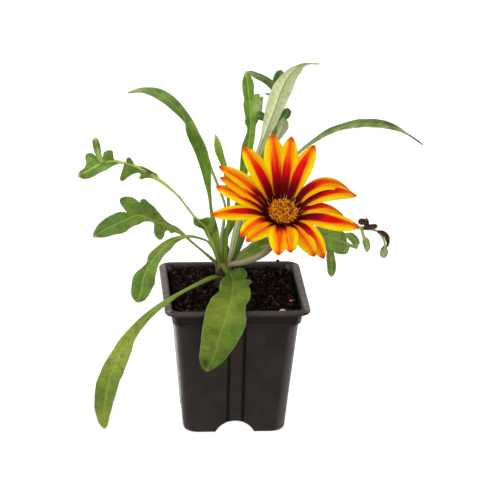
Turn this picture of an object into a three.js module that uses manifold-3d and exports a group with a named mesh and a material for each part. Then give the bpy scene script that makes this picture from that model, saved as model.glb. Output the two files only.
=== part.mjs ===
// A gazania in the square 9 cm nursery pot that it is sold in.
// Millimetres, +Z up. The pot stands on its four corner feet, and its axis is X = Y = 0 while the
// pieces are built; at the end the whole group is moved so that the origin is the middle of the
// bounding box's underside.
import * as THREE from 'three'
import { mergeVertices } from 'three/addons/utils/BufferGeometryUtils.js'
import Module from 'manifold-3d'

const wasm = await Module()
wasm.setup()

// ---------------------------------------------------------------- driving dimensions
const RUNNING_GAP = 0.3 // what two pieces that touch keep between them

const POT = {
  height: 85.8,
  lipHalf: 45, // half the width across the lip
  lipHeight: 2.5,
  lipCorner: 7.7,
  mouthHalf: 40.2,
  collarHalf: 41.2, // under the lip
  collarFootHalf: 40.2,
  collarFootZ: 75.4,
  wallTopHalf: 38.6,
  wallFootHalf: 31.9,
  wallCorner: 9,
  footRound: 2.2, // the soft edge at the very bottom
  wall: 1.2,
  archRadius: 13.3, // the arch cut through each side between two feet
  archCentreZ: -4.9,
  grooveSpread: 4.7, // each side has two grooves, this far left and right of its middle
  grooveWidth: 1.7,
  grooveDepth: 0.55,
  drainRadius: 3,
  drainOffset: 20
}
const SOIL = { topZ: 83.2, slope: 1.3, lump: 1, edgeHalf: 38, edgeDrop: 0.6, rings: 9, around: 36 }
const CROWN = { x: -5, y: 5, bottomZ: 72, topZ: 99, radius: 6, holeRadius: 4.9 }
const STUB = { foot: [-4, 6.2, 95], tip: [-3.7, 6.9, 111], radii: [1.7, 1.5, 0.7], shares: [0, 0.8, 1], sides: 8 }
const HEAD = {
  centre: new THREE.Vector3(27.5, -22, 143.8), // middle of the disc's base
  axis: new THREE.Vector3(0.041, -0.556, 0.83).normalize(),
  plateRadius: 9.2,
  discRadius: 9.5,
  discHeight: 3.3,
  discDrop: 1.9, // how far below the middle of the head the disc sits
  florets: 40,
  rimFlorets: 13
}
const BLADE_EDGE = 0.7 // thickness at a leaf's or petal's edge
const STALK_THICK = 1.9
const RIB_THICK = 0.9 // from RIB_FROM of the leaf's length on
const RIB_FROM = 0.45
const LEAST_HALF = 0.4 // no blade or lobe is narrower than twice this, even at its tip
const BROAD_HALF = 13 // a blade this wide on both hands has two more points across
const OUTLINE_CREEP = 0.05 // share of the midrib over which a turned-back outline's rows are spread
const ROW_STEP = { even: 11, least: 0.08 }

// ---------------------------------------------------------------- materials
const finish = (color, roughness) => new THREE.MeshStandardMaterial({ color, roughness, metalness: 0 })
const material = {
  pot: finish(0x35312f, 0.55),
  soil: finish(0x1d1512, 0.95),
  stem: finish(0x8d9a4a, 0.6),
  leaf: finish(0x4f7a2e, 0.5),
  felt: finish(0xa9b78a, 0.8),
  ray: finish(0xffa408, 0.55),
  disc: finish(0xb5671a, 0.8)
}

// ---------------------------------------------------------------- solids
function solidOf(geometry) {
  const bare = geometry.index ? geometry.toNonIndexed() : geometry.clone()
  for (const key of Object.keys(bare.attributes)) if (key !== 'position') bare.deleteAttribute(key)
  const welded = mergeVertices(bare, 1e-4)
  return new wasm.Manifold(new wasm.Mesh({
    numProp: 3,
    vertProperties: new Float32Array(welded.attributes.position.array),
    triVerts: new Uint32Array(welded.index.array)
  }))
}

// Scraps and sealed hollows that a cut or a union leaves are dropped with all but the largest body.
function mainBody(solid) {
  const bodies = solid.decompose()
  return bodies.reduce((best, one) => (one.volume() > best.volume() ? one : best))
}

function meshOf(name, solid, finishOf) {
  const { vertProperties, triVerts, numProp } = mainBody(solid).getMesh()
  const positions = new Float32Array((vertProperties.length / numProp) * 3)
  for (let i = 0; i < positions.length / 3; i++) {
    for (let k = 0; k < 3; k++) positions[3 * i + k] = vertProperties[numProp * i + k]
  }
  const geometry = new THREE.BufferGeometry()
  geometry.setAttribute('position', new THREE.BufferAttribute(positions, 3))
  geometry.setIndex(new THREE.BufferAttribute(new Uint32Array(triVerts), 1))
  geometry.computeVertexNormals()
  const mesh = new THREE.Mesh(geometry, finishOf)
  mesh.name = name
  return mesh
}

// Closes rings of equal length into one solid. The rings run upward and turn anticlockwise from above.
function loftSolid(rings) {
  const count = rings[0].length
  const positions = []
  const triangle = (...points) => points.forEach((p) => positions.push(p.x, p.y, p.z))
  for (let level = 0; level + 1 < rings.length; level++) {
    for (let i = 0; i < count; i++) {
      const j = (i + 1) % count
      triangle(rings[level][i], rings[level][j], rings[level + 1][j])
      triangle(rings[level][i], rings[level + 1][j], rings[level + 1][i])
    }
  }
  const capped = (ring, up) => {
    const middle = ring.reduce((sum, p) => sum.add(p), new THREE.Vector3()).divideScalar(count)
    for (let i = 0; i < count; i++) {
      const j = (i + 1) % count
      if (up) triangle(middle, ring[i], ring[j])
      else triangle(middle, ring[j], ring[i])
    }
  }
  capped(rings[0], false)
  capped(rings[rings.length - 1], true)
  const geometry = new THREE.BufferGeometry()
  geometry.setAttribute('position', new THREE.Float32BufferAttribute(positions, 3))
  return solidOf(geometry)
}

const cylinderAlong = (axis, radius, length, x, y, z, sides = 28) => {
  const geometry = new THREE.CylinderGeometry(radius, radius, length, sides)
  if (axis === 'x') geometry.rotateZ(Math.PI / 2)
  if (axis === 'z') geometry.rotateX(Math.PI / 2)
  geometry.translate(x, y, z)
  return solidOf(geometry)
}

// ---------------------------------------------------------------- pot
// A square with round corners, at one height.
function squareRing(half, corner, z, perCorner = 5) {
  const ring = []
  for (let quarter = 0; quarter < 4; quarter++) {
    const middle = (quarter + 0.5) * (Math.PI / 2)
    const cx = Math.sign(Math.cos(middle)) * (half - corner)
    const cy = Math.sign(Math.sin(middle)) * (half - corner)
    for (let i = 0; i < perCorner; i++) {
      const angle = (quarter + i / (perCorner - 1)) * (Math.PI / 2)
      ring.push(new THREE.Vector3(cx + corner * Math.cos(angle), cy + corner * Math.sin(angle), z))
    }
  }
  return ring
}

const wallHalfAt = (z) => THREE.MathUtils.lerp(POT.wallFootHalf, POT.wallTopHalf, z / POT.collarFootZ)

// The two channels under the base, which the arches open into, with an added margin around them.
const channels = (margin) => {
  const radius = POT.archRadius + margin
  const along = (axis) => cylinderAlong(axis, radius, 3 * POT.lipHalf, 0, 0, POT.archCentreZ)
  return along('x').add(along('y'))
}

function potSolid() {
  const shoulder = POT.height - POT.lipHeight
  const outer = loftSolid([
    squareRing(POT.wallFootHalf - POT.footRound, POT.wallCorner - POT.footRound, 0),
    squareRing(POT.wallFootHalf, POT.wallCorner, POT.footRound),
    squareRing(POT.wallTopHalf, POT.wallCorner, POT.collarFootZ - 0.5),
    squareRing(POT.collarFootHalf, POT.wallCorner, POT.collarFootZ),
    squareRing(POT.collarHalf, POT.wallCorner, shoulder - 0.6),
    squareRing(POT.lipHalf - 0.5, POT.lipCorner, shoulder),
    squareRing(POT.lipHalf, POT.lipCorner, shoulder + 0.5),
    squareRing(POT.lipHalf, POT.lipCorner, POT.height - 0.6),
    squareRing(POT.lipHalf - 0.6, POT.lipCorner, POT.height)
  ])
  const inside = (z) => squareRing(wallHalfAt(z) - POT.wall, POT.wallCorner - POT.wall, z)
  const cavity = loftSolid([
    inside(POT.wall),
    inside(POT.collarFootZ - 1),
    squareRing(POT.collarHalf - 1.6, POT.wallCorner - 1, shoulder - 1),
    squareRing(POT.mouthHalf, POT.lipCorner - 1.5, POT.height - 0.8),
    squareRing(POT.mouthHalf + 0.6, POT.lipCorner - 1.2, POT.height + 0.2)
  ]).subtract(channels(POT.wall))
  let pot = outer.subtract(cavity).subtract(channels(0))
  for (let side = 0; side < 4; side++) {
    for (const hand of [-1, 1]) pot = pot.subtract(grooveCutter(side, hand))
    const angle = side * (Math.PI / 2)
    const x = POT.drainOffset * Math.cos(angle)
    const y = POT.drainOffset * Math.sin(angle)
    pot = pot.subtract(cylinderAlong('z', POT.drainRadius, 30, x, y, 10, 12))
  }
  return pot.subtract(cylinderAlong('z', POT.drainRadius * 1.3, 30, 0, 0, 10, 14))
}

// A groove leans with the wall: its cutter is a long thin box turned to the wall's slope.
function grooveCutter(side, hand) {
  const slope = Math.atan2(POT.wallTopHalf - POT.wallFootHalf, POT.collarFootZ)
  const length = POT.collarFootZ - 6
  const geometry = new THREE.BoxGeometry(POT.grooveWidth, 2 * POT.grooveDepth, length)
  geometry.rotateX(slope)
  geometry.translate(hand * POT.grooveSpread, -wallHalfAt(POT.collarFootZ / 2 + 1), POT.collarFootZ / 2 + 1)
  geometry.rotateZ(side * (Math.PI / 2))
  return solidOf(geometry)
}

// ---------------------------------------------------------------- soil
function soilSolid() {
  const inset = POT.wall + 1.7 * RUNNING_GAP // the pot's corners have coarser facets
  const level = (z) => squareRing(wallHalfAt(z) - inset, POT.wallCorner - inset, z, SOIL.around / 4)
  const levelAt = (y) => SOIL.topZ + (SOIL.slope * y) / SOIL.edgeHalf // it lies a little higher at the back
  const edge = squareRing(SOIL.edgeHalf, POT.wallCorner - 1.5, 0, SOIL.around / 4)
  edge.forEach((p) => p.setZ(levelAt(p.y) - SOIL.edgeDrop))
  const lumpAt = (x, y) => SOIL.lump * (
    0.45 * Math.sin(0.31 * x + 1.3) * Math.cos(0.27 * y + 0.4) +
    0.35 * Math.sin(0.57 * x - 0.43 * y + 2.1) + 0.25 * Math.cos(0.74 * y + 0.39 * x))
  const rings = [level(POT.wall + RUNNING_GAP), level(POT.collarFootZ - 1.2), edge]
  for (let i = SOIL.rings; i >= 1; i--) {
    const share = i / (SOIL.rings + 1)
    rings.push(edge.map((p) => {
      const x = p.x * share
      const y = p.y * share
      return new THREE.Vector3(x, y, levelAt(y) - 0.3 * share + lumpAt(x, y) * Math.min(1, 3 * (1 - share)))
    }))
  }
  return loftSolid(rings).subtract(channels(POT.wall + RUNNING_GAP))
    .subtract(cylinderAlong('z', CROWN.holeRadius + RUNNING_GAP, 40, CROWN.x, CROWN.y, CROWN.bottomZ + 19.7, 16))
}

// ---------------------------------------------------------------- crown
// The short woody stock that every leaf and the flower stem spring from, with the stub of a stalk that
// has broken off.
function crownSolid(margin) {
  const profile = [
    [0, CROWN.bottomZ], [CROWN.holeRadius - 0.9, CROWN.bottomZ], [CROWN.holeRadius, 77], [CROWN.holeRadius, 84.5],
    [5.2, 87], [CROWN.radius, 91], [CROWN.radius + 0.4, 95], [CROWN.radius - 0.6, 98], [3.4, CROWN.topZ],
    [0, CROWN.topZ + 0.4]
  ].map(([radius, z]) => new THREE.Vector2(radius === 0 ? 0 : radius + margin, z + (z > 90 ? margin : 0)))
  const geometry = new THREE.LatheGeometry(profile, 16)
  geometry.rotateX(Math.PI / 2)
  geometry.translate(CROWN.x, CROWN.y, 0)
  const [foot, tip] = [STUB.foot, STUB.tip].map((p) => new THREE.Vector3(...p))
  const rings = STUB.radii.map((radius, i) => {
    const middle = foot.clone().lerp(tip, STUB.shares[i])
    return Array.from({ length: STUB.sides }, (_, k) => {
      const angle = (k / STUB.sides) * 2 * Math.PI
      const out = radius + margin
      return new THREE.Vector3(middle.x + out * Math.cos(angle), middle.y + out * Math.sin(angle), middle.z)
    })
  })
  return solidOf(geometry).add(loftSolid(rings))
}

// ---------------------------------------------------------------- blades
// A blade is a thin closed solid on a curved midline. Its rows run from the midline to both edges:
// halfAt(along, side) is the half width there, and reachAt how far forward that edge point lies.
// The face vectors say which way the upper side looks, from the foot to the tip.
function bladeSolid({ path, face, fold = 0, halfAt, reachAt, thickAt, rows, across, extra = 0 }) {
  const curve = new THREE.CatmullRomCurve3(path.map((p) => new THREE.Vector3(...p)), false, 'centripetal')
  const length = curve.getLength()
  const looks = face.map((f) => new THREE.Vector3(...f).normalize())
  const frameAt = (share) => {
    const u = THREE.MathUtils.clamp(share, 0, 1)
    const tangent = curve.getTangentAt(u)
    const step = Math.min(u * (looks.length - 1), looks.length - 1 - 1e-6)
    const look = looks[Math.floor(step)].clone().lerp(looks[Math.floor(step) + 1], step % 1)
    const normal = look.addScaledVector(tangent, -look.dot(tangent)).normalize()
    const side = new THREE.Vector3().crossVectors(normal, tangent)
    const point = curve.getPointAt(u).addScaledVector(tangent, (share - u) * length)
    return { point, normal, side }
  }
  const foldAt = (u) => (Array.isArray(fold) ? THREE.MathUtils.lerp(fold[0], fold[1], u) : fold)
  const topRows = []
  const bottomRows = []
  for (const u of rows) {
    const top = []
    const bottom = []
    for (const v of across) {
      const hand = Math.sign(v)
      const spread = Math.abs(v)
      const half = hand === 0 ? 0 : halfAt(u, hand, length) + extra
      const forward = hand === 0 ? 0 : reachAt(u, hand, length) * spread
      const at = frameAt(u + forward / length)
      const lean = THREE.MathUtils.degToRad(foldAt(u))
      const lateral = spread * half * Math.cos(lean)
      const lift = spread * half * Math.sin(lean)
      const middle = at.point.addScaledVector(at.side, hand * lateral).addScaledVector(at.normal, lift)
      const thick = thickAt(u, spread) / 2 + extra
      top.push(middle.clone().addScaledVector(at.normal, thick))
      bottom.push(middle.clone().addScaledVector(at.normal, -thick))
    }
    topRows.push(top)
    bottomRows.push(bottom)
  }
  const positions = []
  const triangle = (...points) => points.forEach((p) => positions.push(p.x, p.y, p.z))
  const last = across.length - 1
  for (let i = 0; i + 1 < rows.length; i++) {
    for (let j = 0; j < last; j++) {
      // both faces take the same diagonal, so a waved blade never crosses itself
      const leftward = j < last / 2
      const cut = (grid, up) => {
        const [a, b, c, d] = [grid[i][j], grid[i][j + 1], grid[i + 1][j + 1], grid[i + 1][j]]
        const pair = leftward ? [[a, b, c], [a, c, d]] : [[a, b, d], [b, c, d]]
        pair.forEach(([p, q, r]) => (up ? triangle(p, r, q) : triangle(p, q, r)))
      }
      cut(topRows, true)
      cut(bottomRows, false)
    }
    for (const j of [0, last]) {
      const [a, b, c, d] = [topRows[i][j], topRows[i + 1][j], bottomRows[i + 1][j], bottomRows[i][j]]
      if (j === 0) {
        triangle(a, c, b)
        triangle(a, d, c)
      } else {
        triangle(a, b, c)
        triangle(a, c, d)
      }
    }
  }
  for (const i of [0, rows.length - 1]) {
    for (let j = 0; j < last; j++) {
      const [a, b, c, d] = [topRows[i][j], topRows[i][j + 1], bottomRows[i][j + 1], bottomRows[i][j]]
      if (i === 0) {
        triangle(a, b, c)
        triangle(a, c, d)
      } else {
        triangle(a, c, b)
        triangle(a, d, c)
      }
    }
  }
  const geometry = new THREE.BufferGeometry()
  geometry.setAttribute('position', new THREE.Float32BufferAttribute(positions, 3))
  return solidOf(geometry)
}

// ---------------------------------------------------------------- leaves
// right and left are the outlines of a leaf's two hands, as [millimetres along the midrib, millimetres
// out from it] from the foot to the tip; left is the left hand of someone who looks at the upper face
// with the tip ahead. leaflets: [share of the midrib, half widths from foot to tip, points from there to
// its tip] are lobes that stand out of the blade's own surface, each fused to the midrib.
const LEAVES = [
  {
    name: 'leaf_front',
    path: [[-6.8, 3, 95.5], [-7.9, 0.6, 100.9], [-5.6, -6, 99.6], [-2.3, -12, 97], [-3, -30, 95.8], [-5, -43, 92.8],
      [-8.2, -51, 85.5], [-11.8, -52, 74.8], [-14.6, -51, 62.5], [-19.8, -49, 49.3]],
    face: [[0, -0.2, 1], [0.1, -0.3, 1], [-0.1, -0.35, 1], [-0.2, -1, 0.6], [-0.25, -1, 0.2], [-0.2, -1, 0.1]],
    fold: [14, 3],
    right: [[0, 2.2], [8, 1.7], [17, 2.5], [21.3, 4.9], [29.3, 7.7], [38, 8], [42.7, 8.1], [50.3, 11.2],
      [55.4, 12.6], [62.5, 13.2], [70.2, 12.3], [77.6, 10.9], [88.9, 9.4], [95.7, 7.1], [100, 4.2], [101.6, 0.1]],
    left: [[0, 2.2], [8, 1.7], [15.5, 2.8], [17.4, 4.6], [16.5, 7.2], [18.1, 9.9], [21.3, 9.9], [25.6, 7.4],
      [29.1, 11.4], [31.9, 11.7], [35.5, 9.8], [41.8, 11.2], [49.6, 11.9], [53.2, 10.3], [58.1, 10.8], [62.1, 12.8],
      [65.1, 13.2], [69.3, 12.7], [78.8, 10.9], [86.2, 8.1], [93.2, 5.4], [100.3, 1.7], [101.6, 0.1]]
  },
  {
    name: 'leaf_low_left',
    path: [[-8, 1.5, 91], [-11, -4, 93.8], [-17.5, -11, 94.8], [-28.6, -21, 93.4], [-40.2, -30.5, 90.9],
      [-47.4, -36, 88.2], [-58.8, -42, 80.2], [-67.2, -46, 71.3], [-73.4, -49, 61], [-78.4, -50, 48.5],
      [-81.3, -51, 36.3], [-82.6, -51, 24.9], [-82.5, -50, 12]],
    face: [[-0.2, -0.4, 1], [-0.1, -0.3, 1], [-0.15, -0.4, 1], [-0.5, -0.8, 0.5], [-0.5, -1, 0.2], [-0.35, -1, 0]],
    fold: [24, 6],
    right: [[0, 2.4], [9, 2.2], [17.2, 1.8], [27.2, 1.4], [49.3, 1.4], [58.4, 2], [67.6, 2.6], [77.4, 3.1],
      [87.6, 4.2], [100.3, 5.5], [110.8, 6.8], [119.7, 7.4], [129.3, 6.6], [137.4, 5.1], [143.7, 3], [147.3, 0.1]],
    left: [[0, 2.4], [9, 2.4], [23.8, 2.6], [34, 1.6], [44.7, 2.5], [53.5, 3.6], [60.5, 3.2], [68.8, 3.7],
      [78, 4.4], [86.3, 6], [93.6, 8], [103.6, 8.4], [115.6, 7.4], [125.7, 6.3], [136.4, 4.2], [145.4, 2],
      [147.3, 0.1]]
  },
  {
    name: 'leaf_left_spoon',
    path: [[-8.6, 2.6, 95], [-9.4, 2.4, 101.2], [-13.3, -1, 112.1], [-16.9, -5, 118.2], [-22.3, -9, 121.8],
      [-29.8, -14, 125], [-39.3, -18, 123.8], [-45.9, -21, 119.6], [-51.5, -23, 113.5], [-55.6, -24, 107],
      [-57.9, -24.5, 99.9], [-59.1, -25, 92.9], [-61.2, -25, 85.6]],
    face: [[-1, -0.4, 0.8], [-0.8, -0.5, 0.8], [-0.3, -0.6, 1], [-0.6, -0.8, 0.7], [-0.6, -1, 0.3], [-0.5, -1, 0.1]],
    fold: [20, 4],
    right: [[0, 1.6], [10, 1.4], [22, 0.9], [46.4, 1.4], [56.4, 2.6], [66.9, 4.1], [72.2, 4], [74.7, 2.5],
      [79.2, 3.6], [83, 6], [88, 6.9], [93, 7], [98.5, 5], [100.8, 1.6], [101.2, 0.1]],
    left: [[0, 1.6], [10, 1.4], [22, 0.9], [46.4, 1.4], [53.4, 3], [60.1, 5], [66.2, 4.7], [72, 5.4], [77.2, 7.3],
      [84.2, 8.5], [92.6, 6.3], [97.9, 3.7], [101.2, 0.1]]
  },
  {
    name: 'leaf_mid_left',
    path: [[-8.8, 3.4, 94.5], [-10.6, 3, 100], [-15.1, 0.8, 105.3], [-20.9, -1.5, 111.4], [-26.6, -3.2, 117],
      [-30.5, -5, 121.3], [-40.1, -8, 128.8], [-50.2, -11, 134.3], [-60.1, -13, 138.5], [-67.6, -15, 137],
      [-74.4, -17, 134.5], [-81.8, -19, 131.3], [-88.6, -21, 127.8]],
    face: [[-0.5, -0.5, 1], [-0.5, -0.5, 1], [-0.3, -0.8, 1], [-0.2, -1, 0.8], [-0.2, -1, 0.8]],
    fold: [14, 3],
    right: [[0, 1.6], [10, 1.3], [20, 0.8], [35, 0.9], [45.1, 2.4], [48.5, 2], [54.3, 3.1], [59.9, 7], [67.2, 9.3],
      [69.6, 11.4], [70.7, 10.8], [70.9, 8.6], [71.6, 9.4], [72.6, 11.7], [74.9, 14], [78, 14], [79.6, 11.3],
      [77.8, 7.1], [75.2, 2.4], [77.1, 2.8], [78.8, 4.8], [83, 6.4], [89.7, 6.7], [96.6, 5], [102.1, 1.9],
      [103.3, 0.1]],
    left: [[0, 1.6], [10, 1.3], [20, 0.8], [35, 0.9], [45.5, 2.1], [48.5, 4.7], [51, 3.2], [52.8, 5], [54, 9.9],
      [57, 12.8], [59.9, 10.9], [61, 5.6], [61.2, 1.6], [66.1, 2.6], [73.5, 6.3], [79.3, 6.1], [84.8, 7.5], [91, 6],
      [98.2, 3.8], [103.3, 0.1]]
  },
  {
    name: 'leaf_high_left',
    path: [[-7.6, 5.6, 95], [-8.4, 5.4, 100.9], [-11.2, 5, 109.8], [-14.5, 4, 117], [-17.5, 3, 124.5],
      [-23.1, 2, 130.3], [-29.1, 1, 137.6], [-35.5, -0.5, 147.2], [-48.2, -2.5, 158.7], [-58.4, -4, 165.3],
      [-67.4, -6, 170.1], [-75.5, -8, 172.3], [-81.9, -10, 172], [-87.8, -12, 169.8], [-93.3, -14, 167.3],
      [-97.9, -15, 165.1]],
    face: [[-1, -0.8, 0.5], [-0.8, -1, 0.6], [-0.4, -1, 0.8], [-0.2, -1, 0.9], [-0.2, -1, 0.9]],
    fold: [8, 4],
    right: [[0, 2], [12, 1.7], [22.5, 1.9], [27.5, 3], [30.7, 5.6], [31.9, 7.6], [33.5, 8.4], [34.9, 7],
      [36.8, 5.4], [37.5, 3.2], [40, 0.8], [44.4, 0.7], [49.6, 1.1], [52.5, 0.7], [64.7, 0.6], [71.8, 1],
      [78.4, 1.2], [80, 2.4], [83.9, 2.2], [90.4, 2.3], [95.4, 1.1], [97.6, 2.7], [99.6, 4.4], [101.5, 3.5],
      [101.7, 1], [106.5, 0.9], [110.1, 2], [109.7, 4.5], [109.4, 6.9], [111.9, 7.5], [114, 6.7], [115.3, 3.8],
      [118.1, 5.4], [119.3, 8.6], [122.3, 10.1], [123.9, 8.7], [125, 5.4], [128.3, 2.7], [131.5, 2.4], [134.3, 0.1]],
    left: [[0, 2], [12, 1.5], [22.3, 1.9], [27.1, 2.4], [31.6, 2.5], [36.1, 3.5], [38.9, 3.8], [42.5, 1.2],
      [46.7, 0.6], [57.1, 0.8], [66.9, 1.1], [75.6, 1.2], [81.8, 1.9], [85.5, 3.4], [88.9, 6.2], [90.3, 5.6],
      [89.8, 2.6], [92.1, 3], [94.5, 4.7], [98.9, 9], [103.1, 12.8], [105.7, 12.8], [105.1, 9.4], [101.7, 5.1],
      [99.5, 1.9], [103.5, 1.1], [109.7, 2.9], [115.9, 5.4], [120.9, 5.2], [128.3, 5.2], [131.6, 3.9], [134.3, 0.1]],
    leaflets: [[0.865, [1.7, 1.7, 2.3, 1.9], [-84.4, -12.6, 176.4], [-86.2, -14.6, 184], [-87.4, -16, 190.2]]]
  },
  {
    name: 'leaf_tall_left',
    path: [[-6, 7.4, 95], [-6.6, 7.9, 99.9], [-6.8, 8.6, 106.6], [-7, 10.3, 115.3], [-5.7, 13.5, 123.7],
      [-4.8, 17, 133.6], [-8.1, 20, 143.2], [-12.1, 23, 152.8], [-16.7, 26, 162.4], [-21.7, 28.5, 172.8],
      [-27.4, 30.5, 184.4], [-34.9, 32, 193.4], [-43.7, 33, 200.7], [-54.6, 33.5, 204.8], [-66.2, 34, 202.7]],
    face: [[-1, -0.4, 0.3], [-1, -0.5, 0.2], [-0.8, -0.8, 0.3], [-0.4, -1, 0.5], [-0.2, -1, 0.8]],
    fold: [22, 10],
    right: [[0, 1.8], [12, 1.5], [22, 1.6], [32, 1.1], [45, 0.9], [60, 1.1], [67.8, 1.9], [76.9, 4.2], [85, 4.3],
      [93.8, 3.4], [102.5, 3.3], [111, 3.9], [119, 3.9], [126, 3.3], [132.4, 1.8], [137.6, 1.4], [144.8, 0.1]],
    left: [[0, 1.8], [12, 1.5], [22, 1.6], [32, 1.1], [45, 0.9], [65, 1.2], [80, 2.6], [90, 2.9], [98, 2.5],
      [105, 2.9], [115.4, 3.5], [124, 3.5], [132, 2.7], [139, 1.3], [144.8, 0.1]]
  },
  {
    name: 'leaf_upright_left',
    path: [[-6.8, 4.4, 95.5], [-7.8, 4.2, 101], [-9.8, 2.6, 111.6], [-11.7, 1.5, 123.4], [-14.4, 0, 135.9],
      [-16.7, -2, 150.5], [-19.5, -3.5, 166.7], [-23.9, -5, 180.9], [-27.8, -7, 190.6], [-31.7, -9, 200.3]],
    face: [[-0.6, -1, 0.3], [-0.5, -1, 0.2], [-0.3, -1, 0.2], [-0.2, -1, 0.2]],
    fold: [24, 8],
    right: [[0, 1.7], [10, 1.6], [20, 2.2], [28, 2.5], [35, 1.9], [42.5, 1.1], [55.2, 1.8], [63.2, 2.7],
      [74.2, 4.4], [85.6, 4.4], [95.6, 3.4], [103.6, 1.8], [109.1, 0.1]],
    left: [[0, 1.7], [10, 1.6], [20, 2.2], [28, 2.5], [35, 1.9], [42.3, 1.1], [55, 1], [63.2, 2], [73.3, 2.8],
      [84.4, 3.2], [94.5, 3.7], [102, 3], [105.2, 1.8], [109.1, 0.1]]
  },
  {
    name: 'leaf_small',
    path: [[-5.2, 5, 95.5], [-5.4, 5.2, 100.1], [-5, 6, 108], [-4, 9, 117.4], [-3, 12.5, 126], [-4.2, 16, 152.6],
      [-6.2, 17, 161.2], [-8.2, 17.5, 167.2], [-9.8, 18, 173], [-11.7, 18, 180.9]],
    face: [[0, -1, 0.4], [0, -1, 0.3], [-0.2, -1, 0.2]],
    fold: [22, 10],
    right: [[0, 1.7], [12, 1.4], [30.6, 1], [55.6, 1.3], [67, 1.9], [72.9, 2.1], [78.1, 2.3], [83.4, 1.9],
      [88.2, 0.1]],
    left: [[0, 1.7], [12, 1.4], [30.6, 1], [55.6, 1.3], [68, 2], [72.5, 2.3], [77.6, 2.8], [83.3, 1.8], [88.2, 0.1]]
  },
  {
    name: 'leaf_toothed_top',
    path: [[-5.4, 9, 95], [-5.8, 9.8, 99.9], [-6, 11.2, 107.5], [-5, 13.2, 114.6], [-2.2, 15.5, 120.5],
      [1, 18, 126.5], [5.6, 22, 142.4], [7, 25, 156], [9.3, 27, 169.2], [11, 28, 180], [10.5, 29, 192.8],
      [9.4, 30, 204.3], [7.4, 30, 218]],
    face: [[0.2, -1, 0.3], [0.1, -1, 0.3], [0, -1, 0.2], [0, -1, 0.3]],
    fold: [24, 10],
    right: [[0, 2], [12, 1.7], [20, 2.3], [30, 2.8], [46.3, 2.2], [65.3, 3], [79.4, 3.6], [88.6, 3.3], [93.7, 3.4],
      [96.3, 5], [99.9, 6], [101.9, 7.5], [107.2, 8.2], [111.1, 9.1], [111.7, 8.2], [111, 6.8], [113.5, 6.9],
      [113, 5.1], [113.1, 3.5], [118.9, 4], [123.7, 3.3], [127.1, 2.2], [128.8, 0.1]],
    left: [[0, 2], [12, 1.7], [20, 2.1], [30, 2.5], [46.3, 2.2], [65.9, 2.7], [72, 3.4], [78.9, 3.9], [82.9, 3.5],
      [87.1, 2.6], [91.6, 2.3], [96.2, 4], [97.9, 3.4], [103.3, 3.9], [108.1, 4.1], [110.4, 3.3], [116.1, 3.8],
      [122.4, 3.1], [126.8, 1.3], [128.8, 0.1]]
  },
  {
    name: 'leaf_hooked_top',
    path: [[-3.6, 8.8, 95], [-3.1, 9, 99.4], [0.2, 11.8, 106.2], [4, 16.4, 113], [13.8, 27, 134.3],
      [23.4, 34.5, 158.4], [28.4, 38.5, 180.6], [28, 39.3, 197], [25.4, 39, 206], [20.9, 38.3, 210],
      [15, 37.6, 212.8], [8.4, 37, 215.6]],
    face: [[0, -1, 0.5], [0, -1, 0.4], [-0.5, -1, 0], [-0.4, -1, 0.4]],
    fold: [22, 14],
    right: [[0, 2], [12, 1.5], [30.6, 1], [95.8, 1], [112.8, 1.4], [120.9, 1.9], [128.9, 2], [136.9, 1.9],
      [140.9, 1.5], [143.3, 0.1]],
    left: [[0, 2], [12, 1.5], [30.6, 1], [95.8, 1], [112.8, 1.4], [118.9, 2.2], [123.9, 3], [129.9, 2.8],
      [136.9, 2.2], [140.9, 1.2], [143.3, 0.1]]
  },
  {
    name: 'leaf_feathered_top',
    path: [[-2.4, 6.8, 96], [-1.7, 7, 100.4], [0.9, 9, 107], [4, 13, 114.6], [7.3, 20, 133.5], [16.1, 26.6, 154.2],
      [21.6, 29, 166.8], [26.5, 30, 177.6], [29.5, 31, 187.8], [29.9, 31, 197.7], [28.4, 31, 206.8], [28, 30, 212.2]],
    face: [[0, -1, 0.5], [0, -1, 0.4], [0, -1, 0.2], [0, -1, 0.4]],
    fold: [18, 8],
    right: [[0, 1.8], [12, 1.6], [26, 1.5], [30.6, 1], [60.8, 1.1], [78.9, 1.8], [97.1, 1.8], [105.1, 1],
      [113.2, 1.4], [126.3, 0.6]],
    left: [[0, 1.8], [12, 1.6], [26, 1.5], [30.6, 1], [60.8, 1.1], [78.9, 1.8], [97.1, 1.8], [105.1, 1],
      [113.2, 1.4], [126.3, 0.6]],
    leaflets: [[0.96, [1.6, 3, 3.2, 2.2], [27.2, 30, 211.4], [28.6, 30, 215], [30, 30, 218.4]],
      [0.87, [1, 1, 0.8, 0.1], [24.7, 32, 201.2], [22.5, 33, 201.7], [19.4, 33, 202.9]],
      [0.75, [1, 2.2, 3, 2.6], [30.4, 29, 187.5], [33, 28.5, 190], [34.2, 28, 194.4]],
      [0.6, [1.2, 1.8, 3.6, 1.3], [27.9, 27, 174.6], [31.2, 26, 182.6], [31.6, 25, 189]],
      [0.77, [0.8, 1.4, 2.4, 2.7, 1.4], [24, 30, 188], [19.6, 28, 188.2], [16.9, 26.6, 189.9], [13.4, 26, 191.9]]]
  },
  {
    name: 'leaf_pale_back',
    path: [[-2.6, 4, 96], [-2.7, 4, 101], [-0.8, 4, 109.7], [0.9, 5.2, 118.6], [3.4, 8.4, 127.8], [10, 14, 149.5],
      [15.5, 17, 169.2], [20.2, 18, 183.3], [25.4, 18, 198.3], [29.8, 17, 212.2], [34.5, 15, 221.6],
      [41, 12, 227.4], [51.4, 6, 229.8]],
    face: [[-0.2, 1, 0.2], [-0.2, 1, 0.1], [-0.2, 1, 0.1], [-0.1, 1, 0.2], [0.1, 1, 0.3], [0, 0.4, 1]],
    fold: [20, 8],
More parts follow.
